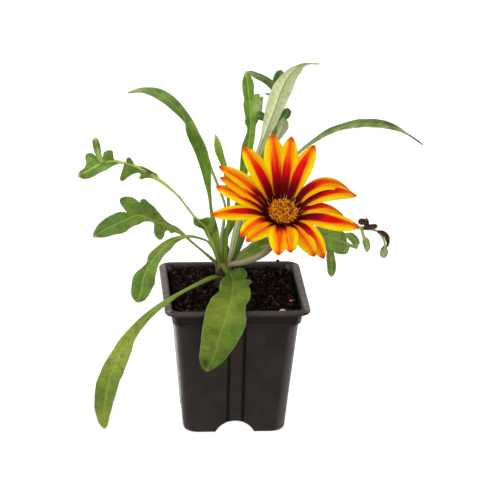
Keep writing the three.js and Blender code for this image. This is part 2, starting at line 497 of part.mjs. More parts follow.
    right: [[0, 1.6], [14, 1.9], [24, 2.1], [34, 1.9], [44, 1.6], [60.3, 1.4], [77.8, 1.6], [85.6, 1.9], [92.5, 3],
      [100.2, 4.7], [106.5, 5.8], [114.8, 6.2], [122.2, 5.4], [128.1, 4.2], [134.7, 2.9], [140.3, 1.6],
      [146.3, 1.3], [154.9, 0.1]],
    left: [[0, 1.6], [14, 2], [24, 2.3], [34, 2], [44, 1.7], [60.3, 1.8], [79.3, 3], [89.3, 3.8], [98, 5.5],
      [105.7, 5.7], [112.3, 6.4], [121.5, 6.9], [127.8, 6.3], [135.5, 6], [142.5, 3.3], [148.3, 1.3], [154.9, 0.1]]
  },
  {
    name: 'leaf_arch_right',
    path: [[-1.4, 7.6, 95], [0.1, 8.6, 100.4], [3.9, 11.4, 107.3], [7.2, 14.6, 114.1], [12.3, 18.5, 125.1],
      [26.9, 25.5, 147.9], [43.6, 28.4, 166.2], [51.7, 29, 172.2], [60.9, 28.7, 178.1], [70, 26.7, 182],
      [80.2, 22.6, 185], [91, 17.8, 186.2], [100.6, 13.7, 185], [108.3, 10, 182.1], [117.2, 4, 177.3]],
    face: [[-0.6, -1, 0.6], [-0.6, -1, 0.6], [-0.5, -0.6, 1], [-0.2, -0.5, 1], [0, -0.5, 1], [0.2, -0.5, 1]],
    fold: [20, 16],
    right: [[0, 2.2], [14.4, 1.8], [30.4, 1.2], [80.6, 1.3], [88.6, 1.2], [98.6, 1.8], [107.7, 2.6], [116.7, 2.9],
      [124.7, 3.7], [132.7, 4], [140.7, 3.9], [148.8, 3.3], [154.8, 2], [160.8, 0.8], [167.8, 0.5], [174.2, 0.1]],
    left: [[0, 2.2], [14.4, 1.8], [30.4, 1.2], [80.6, 1.3], [88.6, 1.2], [98.6, 1.8], [107.7, 2.6], [116.7, 2.9],
      [124.7, 3.7], [132.7, 4], [140.7, 3.9], [148.8, 3.3], [154.8, 2], [160.8, 0.8], [167.8, 0.5], [174.2, 0.1]]
  },
  {
    name: 'leaf_under_flower',
    path: [[-1.2, 4.6, 95], [2.2, 3, 101.6], [6, 4, 104.4], [13.5, 6, 108.4], [23, 8, 110.8], [35.7, 9, 112.2],
      [48.2, 9, 114.4], [57.5, 7.5, 116.3], [63.7, 5, 115.1], [70.5, 3, 112.8], [77.8, 0, 110.9]],
    face: [[-0.3, -1, 0.8], [-0.2, -1, 0.9], [0, -1, 0.8], [0, -1, 0.7], [0.1, -1, 0.7]],
    fold: [32, 5],
    right: [[0, 2], [5, 2], [9.5, 2.6], [15.5, 4.9], [23, 4.2], [29, 3.2], [38, 3], [43.6, 5], [45.4, 6.8], [47, 6],
      [48.6, 2.5], [52, 3], [58, 6], [66, 8], [73, 8.1], [74.8, 7.8], [76.7, 8.8], [79.3, 8.2], [83, 6.8],
      [84.2, 5.3], [83.6, 3], [83.2, 1.4], [86, 0.9], [88.2, 0.8], [88.8, 0.2]],
    left: [[0, 2], [5, 1.4], [11.8, 1.4], [17, 2.1], [22, 3.4], [26, 4.7], [30, 5.2], [40, 5.2], [50, 4], [57, 5],
      [63.7, 6.5], [72.6, 6.5], [77.2, 6.3], [79.3, 4.9], [80.6, 1.7], [84, 1.1], [88, 0.9], [88.8, 0.2]],
    leaflets: [[0.68, [1.5, 2, 2.8, 2.9, 1.2], [60, 3, 109.3], [60.8, 1, 104.2], [61.4, -1, 99], [61.2, -2, 92.8]],
      [0.78, [0.8, 1.4, 2.6, 2.6, 0.4], [70.3, 6, 117.8], [73.8, 4, 117.3], [76, 2, 115.2], [77.7, 0, 112]]]
  },
  {
    name: 'leaf_far_right',
    path: [[-1, 6, 94.5], [2.6, 7.6, 102.2], [8.4, 11, 106.8], [18.5, 15, 113], [36.4, 18.5, 117.2],
      [55.5, 19, 118], [71.2, 17.5, 117.8], [80.7, 16, 118.6], [84.2, 14, 118.8], [87.7, 12, 119],
      [91.2, 10, 118.2], [93.8, 8, 115.5], [95.1, 6, 112.8], [95.5, 5, 109.7], [95.3, 4, 106.6]],
    face: [[-0.2, -1, 1], [-0.1, -1, 1], [0, -1, 0.9], [0, -1, 0.9], [0.6, -1, 0.6], [0.9, -1, 0.2]],
    fold: [12, 4],
    right: [[0, 2], [10, 1.6], [22, 1], [90, 0.9], [97, 1.2], [103, 0.8], [116, 0.8], [121, 0.7]],
    left: [[0, 2], [10, 1.6], [22, 1], [90, 0.9], [97, 1.2], [103, 0.8], [116, 0.8], [121, 0.7]],
    leaflets: [
      [0.785, [1.2, 0.9, 2.4, 2, 0.1], [82.4, 13, 114.7], [84.2, 12, 110.7], [84.9, 10.5, 107.4], [84.5, 10, 104.2]],
      [0.8, [0.7, 1.5, 2, 2.2], [84.3, 13, 121.5], [82.8, 13, 123.6], [78.8, 13, 123.9]],
      [0.8, [0.7, 1.2, 1.4, 0.3], [84.6, 13, 121], [84.4, 12.6, 123.8], [83.9, 12, 126.8]],
      [0.79, [0.7, 1.6, 1.5], [86.5, 11.5, 121], [90.9, 9.5, 122.2]],
      [0.875, [0.7, 1.5, 1.7, 0.9, 0.5], [94.2, 8, 118.1], [96.5, 7, 115.9], [97.4, 6, 111.5], [96.4, 5.5, 109.2]],
      [0.965, [1, 2.6, 2.2], [94.9, 4.2, 106.8], [94.4, 3, 103]]]
  }
]

const midribOf = (leaf) => new THREE.CatmullRomCurve3(leaf.path.map((p) => new THREE.Vector3(...p)), false, 'centripetal')

// The rows of one hand: the place on the midrib that a row springs from, how far along its edge point
// lies, and how far out. Round a lobe, where the outline turns back, they spring from almost one place.
function handRows(outline, length) {
  const whole = outline[outline.length - 1][0]
  const points = outline.map(([along, out]) => new THREE.Vector2((along * length) / whole, out))
  const run = [0]
  for (let i = 1; i < points.length; i++) run.push(run[i - 1] + points[i].distanceTo(points[i - 1]))
  return points.map((point, i) => {
    const ahead = Math.max(...points.slice(0, i + 1).map((p) => p.x))
    const behind = Math.min(...points.slice(i).map((p) => p.x))
    const spreadOut = OUTLINE_CREEP * length * (run[i] / run[run.length - 1])
    return { place: (1 - OUTLINE_CREEP) * (ahead + behind) / 2 + spreadOut, along: point.x, out: point.y }
  })
}

function rowValue(rows, place, key) {
  const found = rows.findIndex((row) => row.place >= place)
  const next = found === -1 ? rows.length - 1 : Math.max(found, 1)
  const [a, b] = [rows[next - 1], rows[next]]
  const share = THREE.MathUtils.clamp((place - a.place) / Math.max(b.place - a.place, 1e-6), 0, 1)
  return THREE.MathUtils.lerp(a[key], b[key], share)
}

// The outlines' own rows, and an even step where they lie far apart.
function leafRows(hands, length) {
  const places = hands.flatMap((rows) => rows.map((row) => row.place))
  const even = Math.round(length / ROW_STEP.even)
  for (let i = 0; i <= even; i++) {
    const place = (i * length) / even
    if (places.every((other) => Math.abs(other - place) > ROW_STEP.even / 3)) places.push(place)
  }
  const sorted = places.sort((a, b) => a - b)
  return sorted.filter((place, i) => i === 0 || place - sorted[i - 1] > ROW_STEP.least).map((place) => place / length)
}

const LEAFLET_FACE = [[-0.1, -1, 0.5], [0, -1, 0.4]]

// A leaflet starts on the midrib and ends round.
function leafletSolid(leaf, [place, widths, ...tail], extra) {
  const path = [midribOf(leaf).getPointAt(place).toArray(), ...tail]
  const run = [0]
  for (let i = 1; i < path.length; i++) {
    run.push(run[i - 1] + new THREE.Vector3(...path[i]).distanceTo(new THREE.Vector3(...path[i - 1])))
  }
  const rows = widths.map((out, i) => ({ place: run[i] / run[run.length - 1], out }))
  const tipWidth = Math.max(widths[widths.length - 1], LEAST_HALF)
  return bladeSolid({
    path,
    face: LEAFLET_FACE,
    fold: 8,
    halfAt: (u, hand, length) => {
      const end = THREE.MathUtils.clamp(1 - ((1 - u) * length) / tipWidth, 0, 1)
      return Math.max(LEAST_HALF, rowValue(rows, u, 'out') * Math.sqrt(1 - end * end))
    },
    reachAt: () => 0,
    thickAt: (u, spread) => THREE.MathUtils.lerp(0.95, BLADE_EDGE, spread),
    rows: [0, 0.22, 0.42, 0.62, 0.8, 0.93, 1],
    across: [-1, 0, 1],
    extra
  })
}

function leafSolid(leaf, extra = 0) {
  const length = midribOf(leaf).getLength()
  const [right, left] = [leaf.right, leaf.left].map((outline) => handRows(outline, length))
  const rowsOf = (hand) => (hand > 0 ? left : right)
  const widest = Math.min(...[leaf.right, leaf.left].map((outline) => Math.max(...outline.map(([, out]) => out))))
  const blade = bladeSolid({
    ...leaf,
    halfAt: (u, hand) => Math.max(LEAST_HALF, rowValue(rowsOf(hand), u * length, 'out')),
    reachAt: (u, hand) => rowValue(rowsOf(hand), u * length, 'along') - u * length,
    thickAt: (u, spread) => {
      const rib = THREE.MathUtils.lerp(STALK_THICK, RIB_THICK, Math.min(1, u / RIB_FROM))
      return THREE.MathUtils.lerp(rib, BLADE_EDGE, spread)
    },
    rows: leafRows([right, left], length),
    across: widest > BROAD_HALF ? [-1, -0.45, 0, 0.45, 1] : [-1, 0, 1],
    extra
  })
  return (leaf.leaflets ?? []).reduce((whole, leaflet) => whole.add(leafletSolid(leaf, leaflet, extra)), blade)
}

// ---------------------------------------------------------------- flower stem and involucre
const STEM = {
  path: [[-3.6, 3, 95.5], [-2.2, 1.4, 100], [1.4, -1, 101.8], [5.4, -3.6, 103.6], [9.8, -6, 106], [15.4, -9, 109.8],
    [20.4, -11.5, 114.8], [24.4, -13.2, 122], [26.6, -15.3, 131.5], [27, -16.4, 135]],
  foot: 1.5,
  head: 2.3
}

const headFrame = () => {
  const right = new THREE.Vector3(0, 0, 1).cross(HEAD.axis).normalize()
  const up = new THREE.Vector3().crossVectors(HEAD.axis, right)
  return new THREE.Matrix4().makeBasis(right, up, HEAD.axis).setPosition(HEAD.centre)
}
const placeOnHead = (solid) => solid.transform(headFrame().toArray())

function stemSolid(extra = 0) {
  const curve = new THREE.CatmullRomCurve3(STEM.path.map((p) => new THREE.Vector3(...p)), false, 'centripetal')
  const sides = 8
  const steps = 14
  const frames = curve.computeFrenetFrames(steps, false)
  const rings = []
  for (let i = 0; i <= steps; i++) {
    const radius = THREE.MathUtils.lerp(STEM.foot, STEM.head, i / steps) + extra
    const centre = curve.getPointAt(i / steps)
    rings.push(Array.from({ length: sides }, (_, k) => {
      const angle = (k / sides) * 2 * Math.PI
      return centre.clone().addScaledVector(frames.normals[i], radius * Math.cos(angle))
        .addScaledVector(frames.binormals[i], radius * Math.sin(angle))
    }))
  }
  return loftSolid(rings)
}

// The green cup under the petals, with two rows of pointed bracts fused at their feet.
function involucreSolid() {
  const profile = [[0, -12], [2.6, -11.6], [4.6, -9.4], [6.4, -6], [7.6, -2.6], [7.4, -1.3], [0, -1.3]]
  const cup = new THREE.LatheGeometry(profile.map(([r, w]) => new THREE.Vector2(r, w)), 18)
  cup.rotateX(Math.PI / 2)
  let solid = solidOf(cup)
  const bracts = 13
  for (let i = 0; i < bracts; i++) {
    const turn = ((i + 0.5) / bracts) * 2 * Math.PI
    const at = (r, w) => [r * Math.cos(turn), r * Math.sin(turn), w]
    solid = solid.add(bladeSolid({
      path: [at(5.2, -8), at(7.4, -4.6), at(8.9, -2.6), at(12.2, -1.6)],
      face: [at(-1, 0.6), at(-1, 0.9), at(-0.4, 1)],
      halfAt: (u) => 1.5 * Math.max(1 - u, 0.12) ** 0.6,
      reachAt: () => 0,
      thickAt: () => BLADE_EDGE,
      rows: [0, 0.55, 1],
      across: [-1, 0, 1]
    }))
  }
  return placeOnHead(solid)
}

// ---------------------------------------------------------------- petals
// Each ray petal: [direction in degrees from the right, tip radius, rise of the tip, arch, half width, turn at the foot]
const PETALS = [
  [58.7, 43.9, 17, 3, 5.9, 2], [78.4, 44.5, 18, 3, 6.1, 1], [93.7, 45.4, 19, 2.5, 7, 2],
  [119.5, 44, 16.5, 3, 6.5, -2], [148.3, 45.3, 16, 3, 5.2, -8], [154.2, 42.3, 11.5, 3.5, 5, 0],
  [160, 43, 8, 3.5, 5.2, 10], [189.5, 47, 9, 3, 5.5, 1], [218.5, 37.5, 7, 4, 5.6, -4], [227, 39.3, 9.5, 2.5, 5, 7],
  [258.3, 39.4, 8, 4, 6.3, -4], [269, 37, 7.5, 3.5, 5.6, 4], [293.3, 39, 1, 3, 5.6, -1],
  [301.2, 41.6, -2, 4, 5.8, 9], [342.3, 48.4, 1, 3, 6.2, -6], [357.3, 38, -5, 6.5, 3.8, 0],
  [12.6, 49.4, -1, 8, 5.8, 5], [19.2, 48.2, -4, 11.8, 4.8, 15]
]

function petalSolid([direction, reach, rise, arch, half, footTurn]) {
  const at = (r, w, share) => {
    const angle = THREE.MathUtils.degToRad(direction + footTurn * (1 - share))
    return [r * Math.cos(angle), r * Math.sin(angle), w]
  }
  const through = (share) => at(
    THREE.MathUtils.lerp(10.6, reach, share),
    0.7 + rise * share + arch * 4 * share * (1 - share), share)
  return bladeSolid({
    path: [at(5.5, -0.4, 0), at(10.4, -0.4, 0), through(0.2), through(0.45), through(0.7), through(0.88), through(1)],
    face: [[0, 0, 1], [0, 0, 1]],
    fold: [-4, -12],
    halfAt: (u) => {
      const x = Math.max(u - 0.06, 0.01) / 0.94
      return Math.max(0.55, 1.9 * (1 - x) + half * (x / 0.6) ** 1.05 * (Math.max(1 - x, 0) / 0.4) ** 0.7 * 0.92)
    },
    reachAt: () => 0,
    thickAt: () => BLADE_EDGE,
    rows: [0, 0.15, 0.34, 0.54, 0.72, 0.86, 0.95, 1],
    across: [-1, 0, 1]
  })
}

function raySolid() {
  const profile = [[0, -0.95], [HEAD.plateRadius - 0.6, -0.95], [HEAD.plateRadius, -0.3], [HEAD.plateRadius - 0.4, 0.35],
    [0, 0.35]]
  const plate = new THREE.LatheGeometry(profile.map(([r, w]) => new THREE.Vector2(r, w)), 24)
  plate.rotateX(Math.PI / 2)
  const petals = PETALS.map(petalSolid)
  return placeOnHead(petals.reduce((sum, petal) => sum.add(petal), solidOf(plate)))
}

// ---------------------------------------------------------------- disc
const GOLDEN_ANGLE = Math.PI * (3 - Math.sqrt(5))

function spike(radius, length, position, direction) {
  const cone = new THREE.ConeGeometry(radius, length, 4)
  cone.rotateX(Math.PI / 2)
  const turn = new THREE.Quaternion().setFromUnitVectors(new THREE.Vector3(0, 0, 1), direction.clone().normalize())
  cone.applyQuaternion(turn)
  cone.translate(position.x, position.y, position.z)
  return solidOf(cone)
}

function discSolid() {
  const floor = 0.35 + RUNNING_GAP + 0.1
  const dome = [[0, floor], [HEAD.discRadius * 0.86, floor], [HEAD.discRadius, floor + 1]]
  for (let i = 1; i <= 4; i++) {
    const angle = (i / 4) * (Math.PI / 2)
    dome.push([HEAD.discRadius * Math.cos(angle), floor + 1 + (HEAD.discHeight - 1) * Math.sin(angle)])
  }
  dome[dome.length - 1][0] = 0
  const base = new THREE.LatheGeometry(dome.map(([r, w]) => new THREE.Vector2(r, w)), 20)
  base.rotateX(Math.PI / 2)
  const studs = [solidOf(base)]
  for (let i = 0; i < HEAD.florets; i++) {
    const share = Math.sqrt((i + 0.5) / HEAD.florets)
    const angle = i * GOLDEN_ANGLE
    const r = HEAD.discRadius * 0.93 * share
    const w = floor + 1 + (HEAD.discHeight - 1) * Math.sqrt(1 - (r / HEAD.discRadius) ** 2)
    const out = new THREE.Vector3(r * Math.cos(angle) * 0.06, r * Math.sin(angle) * 0.06, 1)
    studs.push(spike(0.85, 2.2, new THREE.Vector3(r * Math.cos(angle), r * Math.sin(angle), w), out))
  }
  for (let i = 0; i < HEAD.rimFlorets; i++) {
    const angle = ((i + 0.3) / HEAD.rimFlorets) * 2 * Math.PI
    const place = new THREE.Vector3(8.9 * Math.cos(angle), 8.9 * Math.sin(angle), floor + 2.4)
    studs.push(spike(0.8, 4.4, place, new THREE.Vector3(Math.cos(angle) * 0.3, Math.sin(angle) * 0.3, 1)))
  }
  return placeOnHead(wasm.Manifold.union(studs).translate([0, -HEAD.discDrop, 0]))
}

// ---------------------------------------------------------------- assembly
const plant = new THREE.Group()
plant.add(meshOf('pot', potSolid(), material.pot))
plant.add(meshOf('soil', soilSolid(), material.soil))
plant.add(meshOf('crown', crownSolid(0), material.stem))

const crownRoom = crownSolid(RUNNING_GAP)
const flowerStem = stemSolid().subtract(crownRoom).add(involucreSolid())
plant.add(meshOf('flower_stem', flowerStem, material.stem))
plant.add(meshOf('ray_petals', raySolid(), material.ray))
plant.add(meshOf('disc_florets', discSolid(), material.disc))

// Leaf stalks crowd at the crown like a sheaf: each is trimmed clear of those already placed.
const taken = [crownRoom, stemSolid(RUNNING_GAP)]
for (const leaf of LEAVES) {
  const trimmed = taken.reduce((rest, room) => rest.subtract(room), leafSolid(leaf))
  plant.add(meshOf(leaf.name, trimmed, leaf.name === 'leaf_pale_back' ? material.felt : material.leaf))
  taken.push(leafSolid(leaf, 1.4 * RUNNING_GAP))
}

const box = new THREE.Box3().setFromObject(plant)
plant.position.set(-(box.min.x + box.max.x) / 2, -(box.min.y + box.max.y) / 2, -box.min.z)
plant.updateMatrixWorld(true)

const group = new THREE.Group()
group.add(plant)
export default group
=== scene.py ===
"""A gazania in the square nursery pot that it is sold in, dressed in the order it is put together:
pot, peat, crown, leaves, flower stem, ray petals and disc florets, and then the stage it stands on."""
import math

import bmesh
import bpy
import numpy as np
from mathutils import Matrix, Vector, noise


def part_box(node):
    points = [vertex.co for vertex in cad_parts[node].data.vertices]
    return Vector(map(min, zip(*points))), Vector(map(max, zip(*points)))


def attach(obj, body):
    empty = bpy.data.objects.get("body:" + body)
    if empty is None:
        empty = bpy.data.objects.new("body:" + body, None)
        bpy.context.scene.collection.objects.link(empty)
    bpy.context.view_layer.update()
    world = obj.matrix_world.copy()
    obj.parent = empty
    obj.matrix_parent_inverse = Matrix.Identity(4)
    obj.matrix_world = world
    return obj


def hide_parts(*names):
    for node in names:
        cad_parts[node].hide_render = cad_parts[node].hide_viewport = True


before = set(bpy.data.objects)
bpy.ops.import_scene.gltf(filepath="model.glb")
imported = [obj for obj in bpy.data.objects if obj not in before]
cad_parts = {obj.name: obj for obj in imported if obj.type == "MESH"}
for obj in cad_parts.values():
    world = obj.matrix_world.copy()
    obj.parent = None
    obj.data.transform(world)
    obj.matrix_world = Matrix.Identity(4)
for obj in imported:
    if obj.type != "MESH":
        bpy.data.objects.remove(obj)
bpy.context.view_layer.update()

# ================================================================ nursery pot
# A thin square pot, moulded in one shot from recycled black polypropylene, with a rolled lip over a
# short collar, two grooves down each side and an arch between its feet. Dust has dulled its collar and
# lip. Painted light lightens the lip's top, the wall's right-hand corners and its left face, and painted
# shade darkens the grooves, the inside and the lip's inner edge.
MM = 0.001
POT = dict(height=85.8, foot_round=2.2, wall=1.2, wall_corner=9)
WALL_HALF = (31.9, 38.6)  # half the width at the foot and under the collar
COLLAR = dict(foot_z=75.4, foot_half=40.2, top_half=41.2)
LIP = dict(half=45, corner=7.7, thick=2.5, edge=0.9, mouth_half=40.2, mouth_corner=6.2)
GROOVE = dict(spread=4.7, width=1.7, depth=0.55, short_of_wall=6)
ARCH = dict(radius=13.3, centre_z=-4.9)
DRAIN = dict(radius=3, offset=20, middle_radius=3.9, reach=30)

pot_low, pot_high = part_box("pot")
POT_FOOT = np.array([(pot_low.x + pot_high.x) / 2, (pot_low.y + pot_high.y) / 2, pot_low.z])


def placed(points):
    """Millimetres from the middle of the pot's foot, as metres in the frame."""
    return np.asarray(points, float) * MM + POT_FOOT


def shade(code):
    """A colour written RRGGBB, as the linear values that a shader takes."""
    parts = [int(code[i:i + 2], 16) / 255 for i in (0, 2, 4)]
    return (*(p / 12.92 if p <= 0.04045 else ((p + 0.055) / 1.055) ** 2.4 for p in parts), 1.0)


def add_node(tree, kind, inputs=None, **settings):
    """A new node. Its inputs are values or other nodes' outputs, by socket name or number."""
    made = tree.nodes.new(kind)
    for key, value in settings.items():
        setattr(made, key, value)
    for key, value in (inputs or {}).items():
        if isinstance(value, bpy.types.NodeSocket):
            tree.links.new(value, made.inputs[key])
        else:
            made.inputs[key].default_value = value
    return made


def calc(tree, operation, *terms):
    """The output of a Math node."""
    return add_node(tree, "ShaderNodeMath", dict(enumerate(terms)), operation=operation).outputs[0]


def plus(tree, first, second):
    return calc(tree, "ADD", first, second)


def minus(tree, first, second):
    return calc(tree, "SUBTRACT", first, second)


def outside(tree, mask):
    """1 where the mask is 0."""
    return minus(tree, 1.0, mask)


def times(tree, *factors):
    product = factors[0]
    for factor in factors[1:]:
        product = calc(tree, "MULTIPLY", product, factor)
    return product


def axes(tree, vector):
    """The X, Y and Z outputs that a vector splits into."""
    return add_node(tree, "ShaderNodeSeparateXYZ", {0: vector}).outputs


def ease(tree, value, low, high):
    """0 below low and 1 above high, with a soft step between them."""
    made = add_node(tree, "ShaderNodeMapRange", {"Value": value, "From Min": low, "From Max": high},
                    interpolation_type="SMOOTHSTEP")
    return made.outputs["Result"]


def blend(tree, share, first, second):
    """Two colours mixed. Each is written RRGGBB, or is a socket or linear values."""
    first, second = (shade(colour) if isinstance(colour, str) else colour for colour in (first, second))
    return add_node(tree, "ShaderNodeMix", {0: share, 6: first, 7: second}, data_type="RGBA").outputs[2]


def tint(tree, base, colour, *masks):
    """A colour laid over a base, where all the masks let it through."""
    return blend(tree, times(tree, *masks), base, colour)


def own_place(tree):
    """Where a point lies in its piece's own space."""
    return add_node(tree, "ShaderNodeTexCoord").outputs["Object"]


def clouds(tree, scale, seed):
    """Soft noise from 0 to 1 over a piece's own space."""
    made = add_node(tree, "ShaderNodeTexNoise", {"Vector": own_place(tree), "W": seed, "Scale": scale,
                                                 "Detail": 3.0, "Roughness": 0.6}, noise_dimensions="4D")
    return made.outputs["Fac"]


SOCKET_KINDS = {float: "Float", int: "Int", tuple: "Color", type(None): "Material"}


def add_inputs(tree, defaults):
    """Named inputs, each of the kind of its default."""
    for label, value in defaults.items():
        kind = "NodeSocket" + SOCKET_KINDS[type(value)]
        made = tree.interface.new_socket(label, in_out="INPUT", socket_type=kind)
        if value is not None:
            made.default_value = value


def new_group(name, inputs, outputs):
    """A shader node group with these sockets, and its input and output nodes."""
    group = bpy.data.node_groups.new(name, "ShaderNodeTree")
    add_inputs(group, inputs)
    for label, kind in outputs.items():
        group.interface.new_socket(label, in_out="OUTPUT", socket_type="NodeSocket" + kind)
    return group, group.nodes.new("NodeGroupInput").outputs, group.nodes.new("NodeGroupOutput").inputs


def mottle_group():
    """Soft-edged patches of about one grain's width in millimetres."""
    group, given, result = new_group("mottle", {"Grain": 5.0, "Seed": 0.0, "Low": 0.4, "High": 0.6},
                                     {"Mask": "Float"})
    cloud = clouds(group, calc(group, "DIVIDE", 1 / MM, given["Grain"]), given["Seed"])
    group.links.new(ease(group, cloud, given["Low"], given["High"]), result["Mask"])
    return group


MOTTLE = mottle_group()


def mottle(tree, grain, seed, low=0.4, high=0.6):
    made = add_node(tree, "ShaderNodeGroup", node_tree=MOTTLE)
    for label, value in {"Grain": grain, "Seed": seed, "Low": low, "High": high}.items():
        made.inputs[label].default_value = value
    return made.outputs["Mask"]


def new_material(name, roughness=0.6, specular=0.5):
    """A material, its node tree and its Principled shader."""
    made = bpy.data.materials.new(name)
    made.use_nodes = True
    shader = made.node_tree.nodes["Principled BSDF"]
    shader.inputs["Roughness"].default_value = roughness
    shader.inputs["Specular IOR Level"].default_value = specular
    return made, made.node_tree, shader


def surface(tree, shader, colour, height, depth):
    """Gives a shader its colour, and raises it by up to depth millimetres where height is 1."""
    tree.links.new(colour, shader.inputs["Base Color"])
    bump = add_node(tree, "ShaderNodeBump", {"Height": height, "Distance": depth * MM, "Strength": 1.0})
    tree.links.new(bump.outputs["Normal"], shader.inputs["Normal"])


def new_object(name, points, faces):
    """A smooth-shaded mesh object whose points are given in millimetres."""
    mesh = bpy.data.meshes.new(name)
    mesh.from_pydata(placed(points).tolist(), [], [list(map(int, face)) for face in faces])
    mesh.shade_smooth()
    made = bpy.data.objects.new(name, mesh)
    bpy.context.scene.collection.objects.link(made)
    return made


def loft(name, rings):
    """Closes rings of equal length, turning anticlockwise from above, into one solid."""
    count = len(rings[0])
    points = np.vstack(list(rings) + [np.mean(rings[0], 0), np.mean(rings[-1], 0)])
    ahead = np.roll(np.arange(count), -1)
    faces = [(i + k * count, j + k * count, j + (k + 1) * count, i + (k + 1) * count)
             for k in range(len(rings) - 1) for i, j in enumerate(ahead)]
    top = (len(rings) - 1) * count
    faces += [(len(points) - 2, j, i) for i, j in enumerate(ahead)]
    faces += [(len(points) - 1, top + i, top + j) for i, j in enumerate(ahead)]
    return new_object(name, points, faces)


def square_ring(half, corner, z, per_corner=13):
    """A square with round corners."""
    turns = np.linspace(0, math.pi / 2, per_corner)
    ring = []
    for quarter in range(4):
        angle = turns + quarter * math.pi / 2
        cx, cy = [(1, 1), (-1, 1), (-1, -1), (1, -1)][quarter]
        ring.append(np.stack([cx * (half - corner) + corner * np.cos(angle),
                              cy * (half - corner) + corner * np.sin(angle), np.full_like(angle, z)], 1))
    return np.vstack(ring)


def round_ring(radius, z, sides):
    angles = np.arange(sides) * 2 * math.pi / sides
    return np.stack([radius * np.cos(angles), radius * np.sin(angles), np.full(sides, z)], 1)


def wall_half(z):
    """Half the width of the wall at a height."""
    return WALL_HALF[0] + (WALL_HALF[1] - WALL_HALF[0]) * z / COLLAR["foot_z"]


def cylinder(name, axis, radius, length, middle, sides):
    """A cylinder along one axis, about its middle."""
    turn = {"x": Matrix.Rotation(math.pi / 2, 4, "Y"), "y": Matrix.Rotation(math.pi / 2, 4, "X"),
            "z": Matrix.Identity(4)}[axis]
    ends = [round_ring(radius, z, sides) for z in (-length / 2, length / 2)]
    return loft(name, [np.array([turn @ Vector(p) for p in end]) + middle for end in ends])


def apply_modifier(host, modifier):
    """Leaves the host with the mesh that its modifier makes, and removes the modifier."""
    graph = bpy.context.evaluated_depsgraph_get()
    mesh = bpy.data.meshes.new_from_object(host.evaluated_get(graph))
    host.modifiers.remove(modifier)
    host.data = mesh


def cut(target, cutters):
    """Cuts each cutter out of the target, and deletes it."""
    for cutter in cutters:
        modifier = target.modifiers.new("cut", "BOOLEAN")
        modifier.operation = "DIFFERENCE"
        modifier.solver = "MANIFOLD"
        modifier.object = cutter
        apply_modifier(target, modifier)
        bpy.data.objects.remove(cutter)


def channels(margin):
    """The two channels under the base, which the arches open into."""
    length = 3 * LIP["half"]
    return [cylinder("channel", axis, ARCH["radius"] + margin, length, (0, 0, ARCH["centre_z"]), sides=96)
            for axis in "xy"]


def groove_cutter(side, hand):
    """A long thin box that leans with the wall."""
    slope = math.atan2(WALL_HALF[1] - WALL_HALF[0], COLLAR["foot_z"])
    middle_z = COLLAR["foot_z"] / 2 + 1
    w, d, h = GROOVE["width"] / 2, GROOVE["depth"], (COLLAR["foot_z"] - GROOVE["short_of_wall"]) / 2
    inner = 0.7 * w
    ends = [np.array([(-w, -d, z), (w, -d, z), (inner, d, z), (-inner, d, z)]) for z in (-h, h)]
    turn = Matrix.Rotation(side * math.pi / 2, 4, "Z")
    turn = turn @ Matrix.Translation((hand * GROOVE["spread"], -wall_half(middle_z), middle_z))
    turn = turn @ Matrix.Rotation(slope, 4, "X")
    return loft("groove", [np.array([turn @ Vector(p) for p in end]) for end in ends])


def outer_rings(shoulder):
    """The pot's outside, from the foot's soft edge to the lip's."""
    corner, collar_z = POT["wall_corner"], COLLAR["foot_z"]
    bevels = [(POT["foot_round"] * (1 - math.sin(t)), POT["foot_round"] * (1 - math.cos(t)))
              for t in np.linspace(0, math.pi / 2, 6)]
    foot = [square_ring(WALL_HALF[0] - inset, corner - inset, z) for inset, z in bevels]
    edge = LIP["edge"]
    lip = [square_ring(LIP["half"] - edge + edge * math.cos(t), LIP["corner"], z + edge * math.sin(t))
           for z, turns in ((shoulder + edge, np.linspace(-math.pi / 2, 0, 5)),
                            (POT["height"] - edge, np.linspace(0, math.pi / 2, 6))) for t in turns]
    return [*foot,
            square_ring(WALL_HALF[1], corner, collar_z - 0.7),
            square_ring(COLLAR["foot_half"] - 0.15, corner, collar_z - 0.25),
            square_ring(COLLAR["foot_half"], corner, collar_z + 0.2),
            square_ring(COLLAR["top_half"] - 0.1, corner, shoulder - 1.2),
            square_ring(COLLAR["top_half"] + 0.5, corner - 0.3, shoulder - 0.35),
            *lip]


def inner_rings(shoulder):
    """The pot's hollow, from just over the base to above the lip."""
    wall, corner, mouth_corner = POT["wall"], POT["wall_corner"], LIP["mouth_corner"]
    edge, top = LIP["edge"], POT["height"] + 0.02
    bevels = [(edge * (1 - math.cos(t)), top - edge * (1 - math.sin(t)))
              for t in np.linspace(0, math.pi / 2, 5)]
    mouth = [square_ring(LIP["mouth_half"] + out, mouth_corner, z) for out, z in bevels]
    return [square_ring(wall_half(wall) - wall, corner - wall, wall),
            square_ring(wall_half(COLLAR["foot_z"] - 1) - wall, corner - wall, COLLAR["foot_z"] - 1),
            square_ring(COLLAR["top_half"] - 1.6, corner - 1, shoulder - 1),
            *mouth,
            square_ring(LIP["mouth_half"] + edge + 0.2, mouth_corner, POT["height"] + 2)]


def nursery_pot():
    shoulder = POT["height"] - LIP["thick"]
    pot = loft("nursery_pot", outer_rings(shoulder))
    cavity = loft("cavity", inner_rings(shoulder))
    cut(cavity, channels(POT["wall"]))
    height = DRAIN["reach"] / 3
    places = [(DRAIN["offset"] * math.cos(a), DRAIN["offset"] * math.sin(a), height)
              for a in np.arange(4) * math.pi / 2]
    drains = [cylinder("drain", "z", DRAIN["radius"], DRAIN["reach"], place, 24) for place in places]
    drains.append(cylinder("drain", "z", DRAIN["middle_radius"], DRAIN["reach"], (0, 0, height), 28))
    grooves = [groove_cutter(side, hand) for side in range(4) for hand in (-1, 1)]
    cut(pot, [cavity, *channels(0), *grooves, *drains])
    pot.data.shade_smooth()
    pot.data.set_sharp_from_angle(angle=math.radians(32))
    return pot


